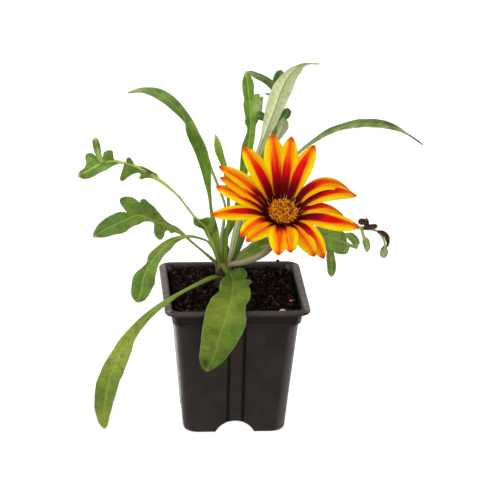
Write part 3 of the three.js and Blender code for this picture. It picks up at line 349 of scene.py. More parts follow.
def ramp(tree, value, to_low, to_high, low=0.0, high=1.0):
    """A value that runs from low to high, taken to another range."""
    return add_node(tree, "ShaderNodeMapRange", {"Value": value, "From Min": low, "From Max": high,
                                                 "To Min": to_low, "To Max": to_high}).outputs["Result"]


def pot_plastic():
    """Dark plastic with dust on its collar and lip. Painted light lightens the lip's top, the right-hand
    corners and the left face, and painted shade darkens the grooves, the inside and the lip's inner edge.
    """
    material, tree, shader = new_material("pot_plastic", specular=0.4)
    here = add_node(tree, "ShaderNodeTexCoord").outputs
    x, y, height = axes(tree, here["Object"])
    facing = axes(tree, here["Normal"])["Z"]
    rightward, backward = (minus(tree, value, float(middle)) for value, middle in zip((x, y), POT_FOOT))
    across, deep = (calc(tree, "ABSOLUTE", value) for value in (rightward, backward))
    near, far = (calc(tree, operation, across, deep) for operation in ("MINIMUM", "MAXIMUM"))
    foot_half, collar_z, mouth_half = WALL_HALF[0], COLLAR["foot_z"], LIP["mouth_half"]
    on_wall = ease(tree, height, collar_z * MM, (collar_z - 3) * MM)
    plastic = blend(tree, mottle(tree, 16, 1.0, 0.3, 0.7), "2f2723", "3c322c")
    plastic = tint(tree, plastic, "3c3432", mottle(tree, 0.8, 2.0, 0.45, 0.75), 0.35)
    # dust lies on the collar and the lip
    collar = ease(tree, height, (collar_z - 6) * MM, (POT["height"] - 1) * MM)
    plastic = tint(tree, plastic, "5a4c46", collar, plus(tree, mottle(tree, 5, 3.0, 0.3, 0.7), 0.4), 0.3)
    # painted light, with some dust: the lip's up-facing top is painted lighter, most of all on its side
    # runs
    on_top = ease(tree, height, (POT["height"] - 5.8) * MM, (POT["height"] - 1.8) * MM)
    on_sides = ease(tree, minus(tree, across, deep), -2 * MM, 3 * MM)
    plastic = tint(tree, plastic, "968780", ease(tree, facing, 0.4, 0.95), on_top,
                   plus(tree, mottle(tree, 2.5, 4.0, 0.3, 0.8), 0.5),
                   plus(tree, times(tree, on_sides, 0.72), 0.03))
    # painted shade darkens the grooves
    from_groove = calc(tree, "ABSOLUTE", minus(tree, near, GROOVE["spread"] * MM))
    groove_shade = outside(tree, ease(tree, from_groove, GROOVE["width"] * 0.25 * MM, GROOVE["width"] * MM))
    plastic = tint(tree, plastic, "0b0909", groove_shade, on_wall, 0.85)
    # painted light: the wall's right-hand corners are painted lighter, and its left face has a painted
    # sheen
    lean = times(tree, height, (WALL_HALF[1] - foot_half) / collar_z)
    lit_corners = ease(tree, minus(tree, near, lean), (foot_half - 8) * MM, (foot_half - 3) * MM)
    plastic = tint(tree, plastic, "6a615d", lit_corners, ease(tree, rightward, -5 * MM, 20 * MM), on_wall, 0.6)
    # painted sheen: the left face is painted lighter, as the light from the left makes it shine
    leftward = minus(tree, times(tree, rightward, -1.0), lean)
    painted_sheen = ease(tree, leftward, (foot_half - 0.9) * MM, (foot_half - 0.2) * MM)
    plastic = tint(tree, plastic, "7a6c60", painted_sheen, on_wall, 0.25)
    # painted shade: the inside is painted darker, and so is the inner edge of the lip
    inner_shade = ease(tree, far, mouth_half * MM, (mouth_half - 0.6) * MM)
    above = ease(tree, height, (collar_z - 2) * MM, collar_z * MM)
    plastic = tint(tree, plastic, "120d0b", inner_shade, above, 0.9)
    # painted shade on the lip's inner edge
    lip_edge_shade = ease(tree, far, (mouth_half + 1.8) * MM, (mouth_half + 0.4) * MM)
    above = ease(tree, height, collar_z * MM, (collar_z + 2) * MM)
    plastic = tint(tree, plastic, "17120f", lip_edge_shade, above, 0.75)
    tree.links.new(ramp(tree, mottle(tree, 9, 5.0, 0.2, 0.8), 0.26, 0.45), shader.inputs["Roughness"])
    surface(tree, shader, plastic, mottle(tree, 0.7, 6.0, 0.2, 0.8), 0.04)
    return material


pot = nursery_pot()
pot.data.materials.clear()
pot.data.materials.append(pot_plastic())
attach(pot, "root")
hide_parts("pot")

# ================================================================ peat
# Black peat, pressed into the pot by hand up to the lip. Its top is loose crumbs, brown fibres and a
# few stray bits of grit and root, and it stands a little away from the wall where it has dried.
PEAT = dict(top_z=83.2, slope=1.3, lump=1, edge_half=38, edge_drop=0.6, bottom_z=9.2, clear=0.6)
PEAT_GRID = dict(rings=64, per_corner=40, side_step=1.2)
CRUMBS = dict(small=(4200, 0.35, 0.8), large=(420, 0.8, 1.7))  # how many, least and most radius
FIBRES = dict(count=260, radius=0.07, length=5, lift=0.4)
PEBBLES = [((28.2, -34.2), (2.4, 1.6, 1.5), "d6b893"), ((34.8, -17.1), (1.1, 0.8, 0.7), "c06a4e"),
           ((20.2, -33.6), (0.8, 0.6, 0.5), "a78a7c")]
ROOTLET = [(20.2, -16.5), (21.1, -13.4), (22.8, -11.4), (24, -15.5), (24.9, -22.7), (25.6, -27)]
PEBBLE_LIFT = 0.6  # how far a pebble's middle lies above the peat
RIM_CRUMB = dict(place=(31.7, 43.6, 0), rings=((1.2, 85.6), (1.1, 86.2), (0.7, 86.9), (0.1, 87.3)))
DENTS = dict(scale=1400.0, depth=0.9)
UPWARD = 0.6  # how far up a face has to look for crumbs and fibres to lie on it
FULL_TURN = 6.28


def peat_height(x, y):
    """The peat's top at a place, in millimetres."""
    edge = max(abs(x), abs(y)) / PEAT["edge_half"]
    lump = PEAT["lump"] * (0.45 * math.sin(0.31 * x + 1.3) * math.cos(0.27 * y + 0.4)
                           + 0.35 * math.sin(0.57 * x - 0.43 * y + 2.1)
                           + 0.25 * math.cos(0.74 * y + 0.39 * x))
    rough = 0.7 * noise.noise((x / 4, y / 4, 3.1)) + 0.4 * noise.noise((x / 1.3, y / 1.3, 8.7))
    level = PEAT["top_z"] + PEAT["slope"] * y / PEAT["edge_half"]
    return level - 0.3 * edge + (lump + rough) * min(1, 3 * (1 - edge) + 0.25)


def peat_body():
    corner = POT["wall_corner"] - 1.5
    around = square_ring(PEAT["edge_half"], corner, 0, PEAT_GRID["per_corner"])
    # the straight sides get points of their own, so that crumbs show along the wall too
    ahead = np.roll(around, -1, axis=0)
    gaps = np.linalg.norm(ahead - around, axis=1)
    ring = []
    for point, following, gap in zip(around, ahead, gaps):
        steps = max(1, int(gap / PEAT_GRID["side_step"]))
        ring += [point + (following - point) * k / steps for k in range(steps)]
    ring = np.array(ring)
    rings = []
    for z in (PEAT["bottom_z"], COLLAR["foot_z"] - 1.2):
        inner = wall_half(z) - POT["wall"] - PEAT["clear"]
        rings.append(ring * (inner / PEAT["edge_half"]) + (0, 0, z))
    rings.append(ring + (0, 0, PEAT["top_z"] - PEAT["edge_drop"] - 1))
    for share in np.linspace(1, 0.01, PEAT_GRID["rings"]):
        level = ring * share
        drop = PEAT["edge_drop"] * max(0, share - 0.9) * 10
        level[:, 2] = [peat_height(x, y) - drop for x, y, _ in level]
        rings.append(level)
    return loft("peat", rings)


def new_tree(name, inputs):
    """A geometry node tree that takes a mesh and these named inputs."""
    tree = bpy.data.node_groups.new(name, "GeometryNodeTree")
    tree.interface.new_socket("Geometry", in_out="INPUT", socket_type="NodeSocketGeometry")
    tree.interface.new_socket("Geometry", in_out="OUTPUT", socket_type="NodeSocketGeometry")
    add_inputs(tree, inputs)
    return tree, tree.nodes.new("NodeGroupInput").outputs


def end_tree(tree, geometry, material):
    """Realizes the instances, gives them the material and puts them out."""
    real = add_node(tree, "GeometryNodeRealizeInstances", {0: geometry})
    dressed = add_node(tree, "GeometryNodeSetMaterial", {"Geometry": real.outputs[0], "Material": material})
    tree.links.new(dressed.outputs[0], tree.nodes.new("NodeGroupOutput").inputs[0])


def grow(host, tree, settings):
    """Leaves the host with the mesh that the tree makes of it."""
    modifier = host.modifiers.new(tree.name, "NODES")
    modifier.node_group = tree
    sockets = {item.name: item.identifier for item in tree.interface.items_tree if item.in_out == "INPUT"}
    for label, value in settings.items():
        modifier[sockets[label]] = value
    apply_modifier(host, modifier)


def random_value(tree, low, high, seed, number):
    """A random float for each point or instance."""
    made = add_node(tree, "FunctionNodeRandomValue", {2: low, 3: high, 8: plus(tree, seed, number)},
                    data_type="FLOAT")
    return made.outputs[1]


def random_turn(tree, seed, number):
    made = add_node(tree, "FunctionNodeRandomValue", {0: (0, 0, 0), 1: (FULL_TURN, FULL_TURN, FULL_TURN),
                                                      8: plus(tree, seed, number)},
                    data_type="FLOAT_VECTOR")
    return made.outputs[0]


def toned(tree, instances, seed, number):
    """Stores a random tone with each instance, which its material reads."""
    tone = random_value(tree, 0, 1, seed, number)
    made = add_node(tree, "GeometryNodeStoreNamedAttribute",
                    {"Geometry": instances, "Name": "tone", "Value": tone},
                    data_type="FLOAT", domain="INSTANCE")
    return made.outputs[0]


def combined(tree, x, y, z):
    """A vector of three values."""
    return add_node(tree, "ShaderNodeCombineXYZ", {0: x, 1: y, 2: z}).outputs[0]


def upward_spots(tree, given):
    """Random points on the faces that look up."""
    upward = axes(tree, add_node(tree, "GeometryNodeInputNormal").outputs[0])["Z"]
    chosen = add_node(tree, "FunctionNodeCompare", {0: upward, 1: UPWARD}, operation="GREATER_THAN")
    spots = add_node(tree, "GeometryNodeDistributePointsOnFaces",
                     {"Mesh": given["Geometry"], "Selection": chosen.outputs[0],
                      "Density": given["Density"], "Seed": given["Seed"]})
    return spots.outputs["Points"]


def crumb_tree():
    """Scatters lumps over the faces that look up."""
    tree, given = new_tree("peat_crumbs", {"Density": 1.0, "Least": 0.3, "Most": 0.8, "Rounds": 1,
                                           "Seed": 1, "Material": None})
    seed = given["Seed"]
    spots = upward_spots(tree, given)
    lump = add_node(tree, "GeometryNodeMeshIcoSphere", {"Radius": MM, "Subdivisions": given["Rounds"]})
    size = random_value(tree, given["Least"], given["Most"], seed, 1)
    scale = combined(tree, times(tree, size, random_value(tree, 0.6, 1.4, seed, 2)), size,
                     times(tree, size, random_value(tree, 0.5, 1, seed, 3)))
    crumbs = add_node(tree, "GeometryNodeInstanceOnPoints",
                      {"Points": spots, "Instance": lump.outputs["Mesh"],
                       "Rotation": random_turn(tree, seed, 4), "Scale": scale})
    real = add_node(tree, "GeometryNodeRealizeInstances", {0: toned(tree, crumbs.outputs[0], seed, 5)})
    dents = add_node(tree, "ShaderNodeTexNoise", {"Scale": DENTS["scale"], "Detail": 2.0})
    lean = add_node(tree, "ShaderNodeVectorMath", {0: dents.outputs["Color"], 1: (0.5, 0.5, 0.5)},
                    operation="SUBTRACT")
    push = add_node(tree, "ShaderNodeVectorMath", {0: lean.outputs[0], "Scale": DENTS["depth"] * MM},
                    operation="SCALE")
    shaped = add_node(tree, "GeometryNodeSetPosition", {"Geometry": real.outputs[0],
                                                        "Offset": push.outputs[0]})
    end_tree(tree, shaped.outputs[0], given["Material"])
    return tree


def fibre_tree():
    """Lays short bent fibres on the faces that look up."""
    tree, given = new_tree("peat_fibres", {"Density": 1.0, "Radius": 0.1, "Length": 5.0, "Seed": 1,
                                           "Material": None})
    seed = given["Seed"]
    spots = upward_spots(tree, given)
    bow = add_node(tree, "GeometryNodeCurveArc", {"Resolution": 8,
                                                  "Radius": times(tree, given["Length"], MM),
                                                  "Start Angle": 0.0, "Sweep Angle": 1.1})
    thread = add_node(tree, "GeometryNodeCurvePrimitiveCircle",
                      {"Resolution": 3, "Radius": times(tree, given["Radius"], MM)})
    fibre = add_node(tree, "GeometryNodeCurveToMesh", {"Curve": bow.outputs[0],
                                                       "Profile Curve": thread.outputs[0],
                                                       "Fill Caps": True})
    middle = (-FIBRES["length"] * 0.85 * MM, -FIBRES["length"] * 0.45 * MM, 0)
    middled = add_node(tree, "GeometryNodeTransform", {"Geometry": fibre.outputs[0], "Translation": middle})
    lie = combined(tree, random_value(tree, -0.35, 0.35, seed, 1), random_value(tree, -0.35, 0.35, seed, 2),
                   random_value(tree, 0, FULL_TURN, seed, 3))
    laid = add_node(tree, "GeometryNodeInstanceOnPoints",
                    {"Points": spots, "Instance": middled.outputs[0], "Rotation": lie,
                     "Scale": random_value(tree, 0.25, 1, seed, 4)})
    lifted = add_node(tree, "GeometryNodeTranslateInstances",
                      {"Instances": laid.outputs[0], "Translation": (0, 0, FIBRES["lift"] * MM)})
    end_tree(tree, toned(tree, lifted.outputs[0], seed, 5), given["Material"])
    return tree


def peat_black():
    material, tree, shader = new_material("peat_black", roughness=0.95, specular=0.02)
    ground = blend(tree, mottle(tree, 3, 11.0), "0b0806", "1e1612")
    ground = tint(tree, ground, "33201a", mottle(tree, 0.9, 12.0, 0.6, 0.72))
    surface(tree, shader, ground, mottle(tree, 0.8, 13.0, 0.2, 0.8), 0.3)
    return material


def attribute(tree, name):
    return add_node(tree, "ShaderNodeAttribute", attribute_name=name).outputs


def crumb_brown(name, dark, middle, light, blackening=0.85):
    """Peat crumbs, fibres and roots, most of them dark."""
    material, tree, shader = new_material(name, roughness=0.92, specular=0.03)
    tone = attribute(tree, "tone")["Fac"]
    mixed = blend(tree, ease(tree, tone, 0.3, 0.85), dark, middle)
    mixed = tint(tree, mixed, light, ease(tree, tone, 0.9, 0.97))
    mixed = tint(tree, mixed, dark, mottle(tree, 0.5, 14.0), 0.4)
    # some patches are browner, and others are darkened nearly to black
    mixed = tint(tree, mixed, light, mottle(tree, 4, 17.0, 0.5, 0.62), 0.4)
    mixed = tint(tree, mixed, "040303", mottle(tree, 3, 16.0, 0.46, 0.56), blackening)
    surface(tree, shader, mixed, mottle(tree, 0.3, 15.0), 0.06)
    return material


def grown_on(name, skin, tree, settings):
    """A piece of its own that the tree grows from a copy of another piece's mesh."""
    host = bpy.data.objects.new(name, skin.data.copy())
    bpy.context.scene.collection.objects.link(host)
    host.data.materials.clear()
    grow(host, tree, settings)
    return host


def pebble(place, size, code, number):
    """A dull rounded piece of grit that lies in the peat."""
    x, y = place
    ball = bmesh.new()
    bmesh.ops.create_icosphere(ball, subdivisions=3, radius=1)
    points = []
    for vertex in ball.verts:
        wobble = 1 + 0.25 * noise.noise(vertex.co * 1.3 + Vector((number * 7.1, 0, 0)))
        points.append([x + vertex.co.x * size[0] * wobble, y + vertex.co.y * size[1] * wobble,
                       peat_height(x, y) + PEBBLE_LIFT + vertex.co.z * size[2] * wobble])
    faces = [[v.index for v in face.verts] for face in ball.faces]
    ball.free()
    made = new_object(f"grit_{number}", points, faces)
    material, tree, shader = new_material(f"grit_{number}", roughness=0.7)
    light = tuple(min(1.0, c * 1.5) for c in shade(code)[:3]) + (1.0,)
    grit = blend(tree, mottle(tree, 0.6, 16.0 + number), code, light)
    surface(tree, shader, grit, mottle(tree, 0.4, 17.0), 0.1)
    made.data.materials.append(material)
    return made


def smooth_path(points, steps=40):
    """Dense points on the centripetal Catmull-Rom curve through the points."""
    p = np.array(points, float)
    p = np.vstack([2 * p[0] - p[1], p, 2 * p[-1] - p[-2]])
    share = np.linspace(0, 1, steps, endpoint=False)[:, None]
    stretches = []
    for quad in zip(p[:-3], p[1:-2], p[2:-1], p[3:]):
        knots = np.cumsum([0] + [np.linalg.norm(q - o) ** 0.5 for o, q in zip(quad, quad[1:])])
        t = knots[1] + (knots[2] - knots[1]) * share
        level = list(quad)
        for reach in (1, 2):
            pairs = zip(knots, knots[reach:], level, level[1:])
            level = [((end - t) * first + (t - start) * second) / (end - start)
                     for start, end, first, second in pairs]
        stretches.append(((knots[2] - t) * level[0] + (t - knots[1]) * level[1]) / (knots[2] - knots[1]))
    return np.vstack(stretches + [p[-2:-1]])


def tube(path, radii, sides):
    """Rings along a path, one for each of its points."""
    heading = np.gradient(path, axis=0)
    heading /= np.linalg.norm(heading, axis=1, keepdims=True)
    across = np.cross(heading[0], (0.13, 0.31, 0.94))
    rings = []
    angles = np.arange(sides) * 2 * math.pi / sides
    for point, ahead, radius in zip(path, heading, radii):
        across = across - ahead * (across @ ahead)
        across /= np.linalg.norm(across)
        up = np.cross(ahead, across)
        rings.append(point + radius * (np.cos(angles)[:, None] * across + np.sin(angles)[:, None] * up))
    return rings


def peat_extra(piece):
    """A piece that lies on the peat and goes with it."""
    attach(piece, "root")
    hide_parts("soil")


peat = peat_body()
peat.data.materials.append(peat_black())
peat_area = (2 * PEAT["edge_half"] * MM) ** 2
crumb_dark = crumb_brown("peat_crumb", "120d0a", "35271f", "745647")
for grade, (count, least, most) in CRUMBS.items():
    crumbs = grown_on(f"peat_crumbs_{grade}", peat, crumb_tree(),
                      {"Density": count / peat_area, "Least": least, "Most": most,
                       "Rounds": 1 + (grade == "large"), "Seed": 21 + count, "Material": crumb_dark})
    crumbs.data.shade_smooth()
    peat_extra(crumbs)
fibre_brown = crumb_brown("peat_fibre", "170e0a", "3c261b", "7d5340")
fibres = grown_on("peat_fibres", peat, fibre_tree(),
                  {"Density": FIBRES["count"] / peat_area, "Radius": FIBRES["radius"],
                   "Length": FIBRES["length"], "Seed": 5, "Material": fibre_brown})
fibres.data.shade_smooth()
peat_extra(fibres)
for number, (place, size, code) in enumerate(PEBBLES):
    peat_extra(pebble(place, size, code, number))
root_path = smooth_path([(x, y, peat_height(x, y) + 1.1 + 0.5 * math.sin(1.7 * i))
                         for i, (x, y) in enumerate(ROOTLET)], 8)
rootlet = loft("rootlet", tube(root_path, np.linspace(0.2, 0.12, len(root_path)), 6))
rootlet.data.materials.append(crumb_brown("rootlet_skin", "8a4f45", "a05f52", "b87766", 0.1))
peat_extra(rootlet)
rim_crumb = loft("rim_crumb", [square_ring(half, half * 0.5, z, 3) * (1, 0.7, 1) + RIM_CRUMB["place"]
                               for half, z in RIM_CRUMB["rings"]])
rim_crumb.data.materials.append(crumb_dark)
peat_extra(rim_crumb)
peat_extra(peat)

# ================================================================ crown
# The short woody stock that every leaf and the flower stem spring from, half sunk in the peat. The
# dry brown bases of leaves that have dropped still sheathe it, and the stub of one broken stalk
# stands on it.
CROWN = dict(x=-5, y=5)
CROWN_PROFILE = [(3.6, 72), (4.6, 77), (4.7, 81.5), (5.2, 85), (5.9, 90), (6.2, 95), (5.4, 98), (3.2, 99),
                 (0.3, 99.3)]
CROWN_SIDES = 28
SHEATHS = dict(count=9, half=2.6, thick=0.5, foot_z=79, tip_z=96, turn=2.4, bulge=(4.8, 5.3, 5.9, 6.3, 6.7))
STUB = dict(foot=(-4, 6.2, 95), tip=(-3.7, 6.9, 111), radii=(1.7, 1.5, 0.7), rings=14)


def unit(vectors):
    return vectors / np.maximum(np.linalg.norm(vectors, axis=-1, keepdims=True), 1e-9)


def run_along(line):
    """How far along a line each of its points lies."""
    return np.concatenate([[0], np.cumsum(np.linalg.norm(np.diff(line, axis=0), axis=1))])


def midline(points, faces):
    """From a share of the curve's length to the point, heading, upper side and left hand there."""
    dense = smooth_path(points)
    run = run_along(dense)
    heading = unit(np.gradient(dense, axis=0))
    looks = unit(np.array(faces, float))

    def at(share):
        held = np.clip(share, 0, 1)
        point, ahead = (np.stack([np.interp(held * run[-1], run, values[:, k]) for k in range(3)], -1)
                        for values in (dense, heading))
        ahead = unit(ahead)
        point = point + ahead * ((share - held) * run[-1])[..., None]
        step = np.minimum(held * (len(looks) - 1), len(looks) - 1 - 1e-6)
        low = step.astype(int)
        look = looks[low] + (looks[low + 1] - looks[low]) * (step - low)[..., None]
        normal = unit(look - (look * ahead).sum(-1, keepdims=True) * ahead)
        return point, ahead, normal, np.cross(normal, ahead)

    return at, run[-1]


def shell_faces(n, m, first=0):
    """The faces of a closed shell of two n by m grids that share their border."""
    upper = np.arange(n * m).reshape(n, m)
    lower = upper.copy()
    lower[1:-1, 1:-1] = n * m + np.arange((n - 2) * (m - 2)).reshape(n - 2, m - 2)

    def corners(grid, order):
        four = [grid[:-1, :-1], grid[:-1, 1:], grid[1:, 1:], grid[1:, :-1]]
        return np.stack([four[k] for k in order], -1).reshape(-1, 4)

    return np.vstack([corners(upper, (0, 3, 2, 1)), corners(lower, (0, 1, 2, 3))]) + first


def blade_shell(at, length, rows, across, half, ahead, fold, lift, top, bottom):
    """A thin closed blade. half and ahead hold a row's half width and forward reach on the right hand
    and the left, and lift, top and bottom are functions of the grid's spread and half width."""
    hand = np.sign(across)[None, :]
    spread = np.abs(across)[None, :] * np.ones((len(rows), 1))
    wide = np.where(hand > 0, half[1][:, None], half[0][:, None])
    share = rows[:, None] + np.where(hand > 0, ahead[1][:, None], ahead[0][:, None]) * spread / length
    point, _, normal, side = at(share)
    lean = np.radians(fold[0] + (fold[1] - fold[0]) * rows)[:, None]
    out = spread * wide
    raised = out * np.sin(lean) + lift(share, hand, spread, wide)
    middle = point + side * (hand * out * np.cos(lean))[..., None] + normal * raised[..., None]
    inner = np.ones_like(out)
    inner[0] = inner[-1] = inner[:, 0] = inner[:, -1] = 0
    upper = middle + normal * (top(share, spread, wide) * inner)[..., None]
    lower = middle - normal * (bottom(share, spread, wide) * inner)[..., None]
    points = np.vstack([upper.reshape(-1, 3), lower[1:-1, 1:-1].reshape(-1, 3)])
    way = np.stack([hand * out, share * length, wide], -1)
    way = np.vstack([way.reshape(-1, 3), way[1:-1, 1:-1].reshape(-1, 3)])
    under = np.concatenate([np.zeros(out.size), np.ones(len(points) - out.size)])
    return points, shell_faces(*out.shape), way, under


def join_shells(name, shells, attributes):
    """One object from shells of (points, faces, values), with the values as attributes of its points."""
    faces = []
    start = 0
    for points, corners, *_ in shells:
        faces.append(np.asarray(corners) + start)
        start += len(points)
    made = new_object(name, np.vstack([shell[0] for shell in shells]), np.vstack(faces))
    for number, label in enumerate(attributes):
        values = np.concatenate([shell[2 + number] for shell in shells]).astype(np.float32)
        kind = "FLOAT_VECTOR" if values.ndim == 2 else "FLOAT"
        layer = made.data.attributes.new(label, kind, "POINT")
        layer.data.foreach_set("vector" if values.ndim == 2 else "value", values.ravel())
    return made


def plain_strip(path, face, half, rows, fold, thick):
    """A flat tapering blade, of one thickness and alike on both hands."""
    at, length = midline(path, [face, face])
    return blade_shell(at, length, rows, np.linspace(-1, 1, 9), (half, half), (0 * rows, 0 * rows), fold,
                       lambda share, hand, spread, wide: 0 * spread,
                       lambda share, spread, wide: thick / 2 + 0 * spread,
                       lambda share, spread, wide: thick / 2 + 0 * spread)[:2]


def dry_sheath(number):
    """One dead leaf base, wrapped round the stock and frayed to a point."""
    turn = number * SHEATHS["turn"]
    outward = np.array([math.cos(turn), math.sin(turn), 0])
    heights = np.linspace(SHEATHS["foot_z"], SHEATHS["tip_z"] - 3 * (number % 3), 5)
    path = [np.array([CROWN["x"], CROWN["y"], z]) + outward * r for z, r in zip(heights, SHEATHS["bulge"])]
    rows = np.linspace(0, 1, 16)
    half = SHEATHS["half"] * (1 - 0.85 * rows ** 1.6)
    return plain_strip(path, outward, half, rows, (-34, -20), SHEATHS["thick"])


def crown_stock():
    angles = np.arange(CROWN_SIDES) * 2 * math.pi / CROWN_SIDES
    rings = []
    for radius, _, z in smooth_path([(r, 0, z) for r, z in CROWN_PROFILE], 5):
        bumps = [1 + 0.1 * noise.noise((2 * math.cos(a), 2 * math.sin(a), z / 3)) for a in angles]
        rings.append(round_ring(radius * np.array(bumps), z, CROWN_SIDES) + (CROWN["x"], CROWN["y"], 0))
    return loft("crown_stock", rings)


def crown_skin():
    material, tree, shader = new_material("crown_skin", roughness=0.75, specular=0.35)
    skin = blend(tree, mottle(tree, 4, 31.0), "3a2a1e", "4d4226")
    skin = tint(tree, skin, "1d130d", mottle(tree, 1.4, 32.0, 0.5, 0.7))
    surface(tree, shader, skin, mottle(tree, 0.9, 33.0), 0.25)
    return material


def broken_stub():
    """What is left of a stalk that has broken off."""
    rings = STUB["rings"]
    line = np.linspace(STUB["foot"], STUB["tip"], rings)
    line[:, 0] += 0.15 * np.sin(np.arange(rings))
    radii = np.interp(np.linspace(0, 1, rings), [0, 0.8, 1], STUB["radii"])
    return loft("broken_stub", tube(line, radii, 14))


crown = crown_stock()
stub = broken_stub()
crown_material = crown_skin()
for piece in (crown, stub):
    piece.data.materials.append(crown_material)
sheaths = join_shells("dry_sheaths", [dry_sheath(i) for i in range(SHEATHS["count"])], ())
sheaths.data.materials.append(crown_material)
for piece in (crown, stub, sheaths):
    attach(piece, "root")
    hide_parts("crown")

# ================================================================ leaves
# Fifteen leaves in a loose rosette, from plain spoons to feathered ones cut nearly to the rib. Each is
# soft green tissue on a pale midrib, with grey felt under it and short white down along its margins,
# and its stalk sheathes the crown.
PETIOLE = dict(half=1.45, thick=1.9)
ACROSS = np.array([0, 0.05, 0.1, 0.17, 0.27, 0.4, 0.55, 0.7, 0.84, 0.94, 0.985, 1])
ACROSS = np.concatenate([-ACROSS[:0:-1], ACROSS])
LEAFLET_ACROSS = np.array([-1, -0.96, -0.82, -0.55, -0.25, -0.1, 0, 0.1, 0.25, 0.55, 0.82, 0.96, 1])
LEAFLET_FACE = [(-0.1, -1, 0.5), (0, -1, 0.4)]
ROW_STEP = 1.4
SKIN = 0.2  # half the thickness of a blade between its ribs
PLAIN_RIB_HALF = 0.3  # half the width of the pale line along most midribs
VEIN_STEP = 4.6  # from one side vein to the next
NET_GRAIN = 1.5  # about the width of a mesh in the net of small veins
TONES = ("Dark", "Light", "Yellow", "Rib", "Felt")

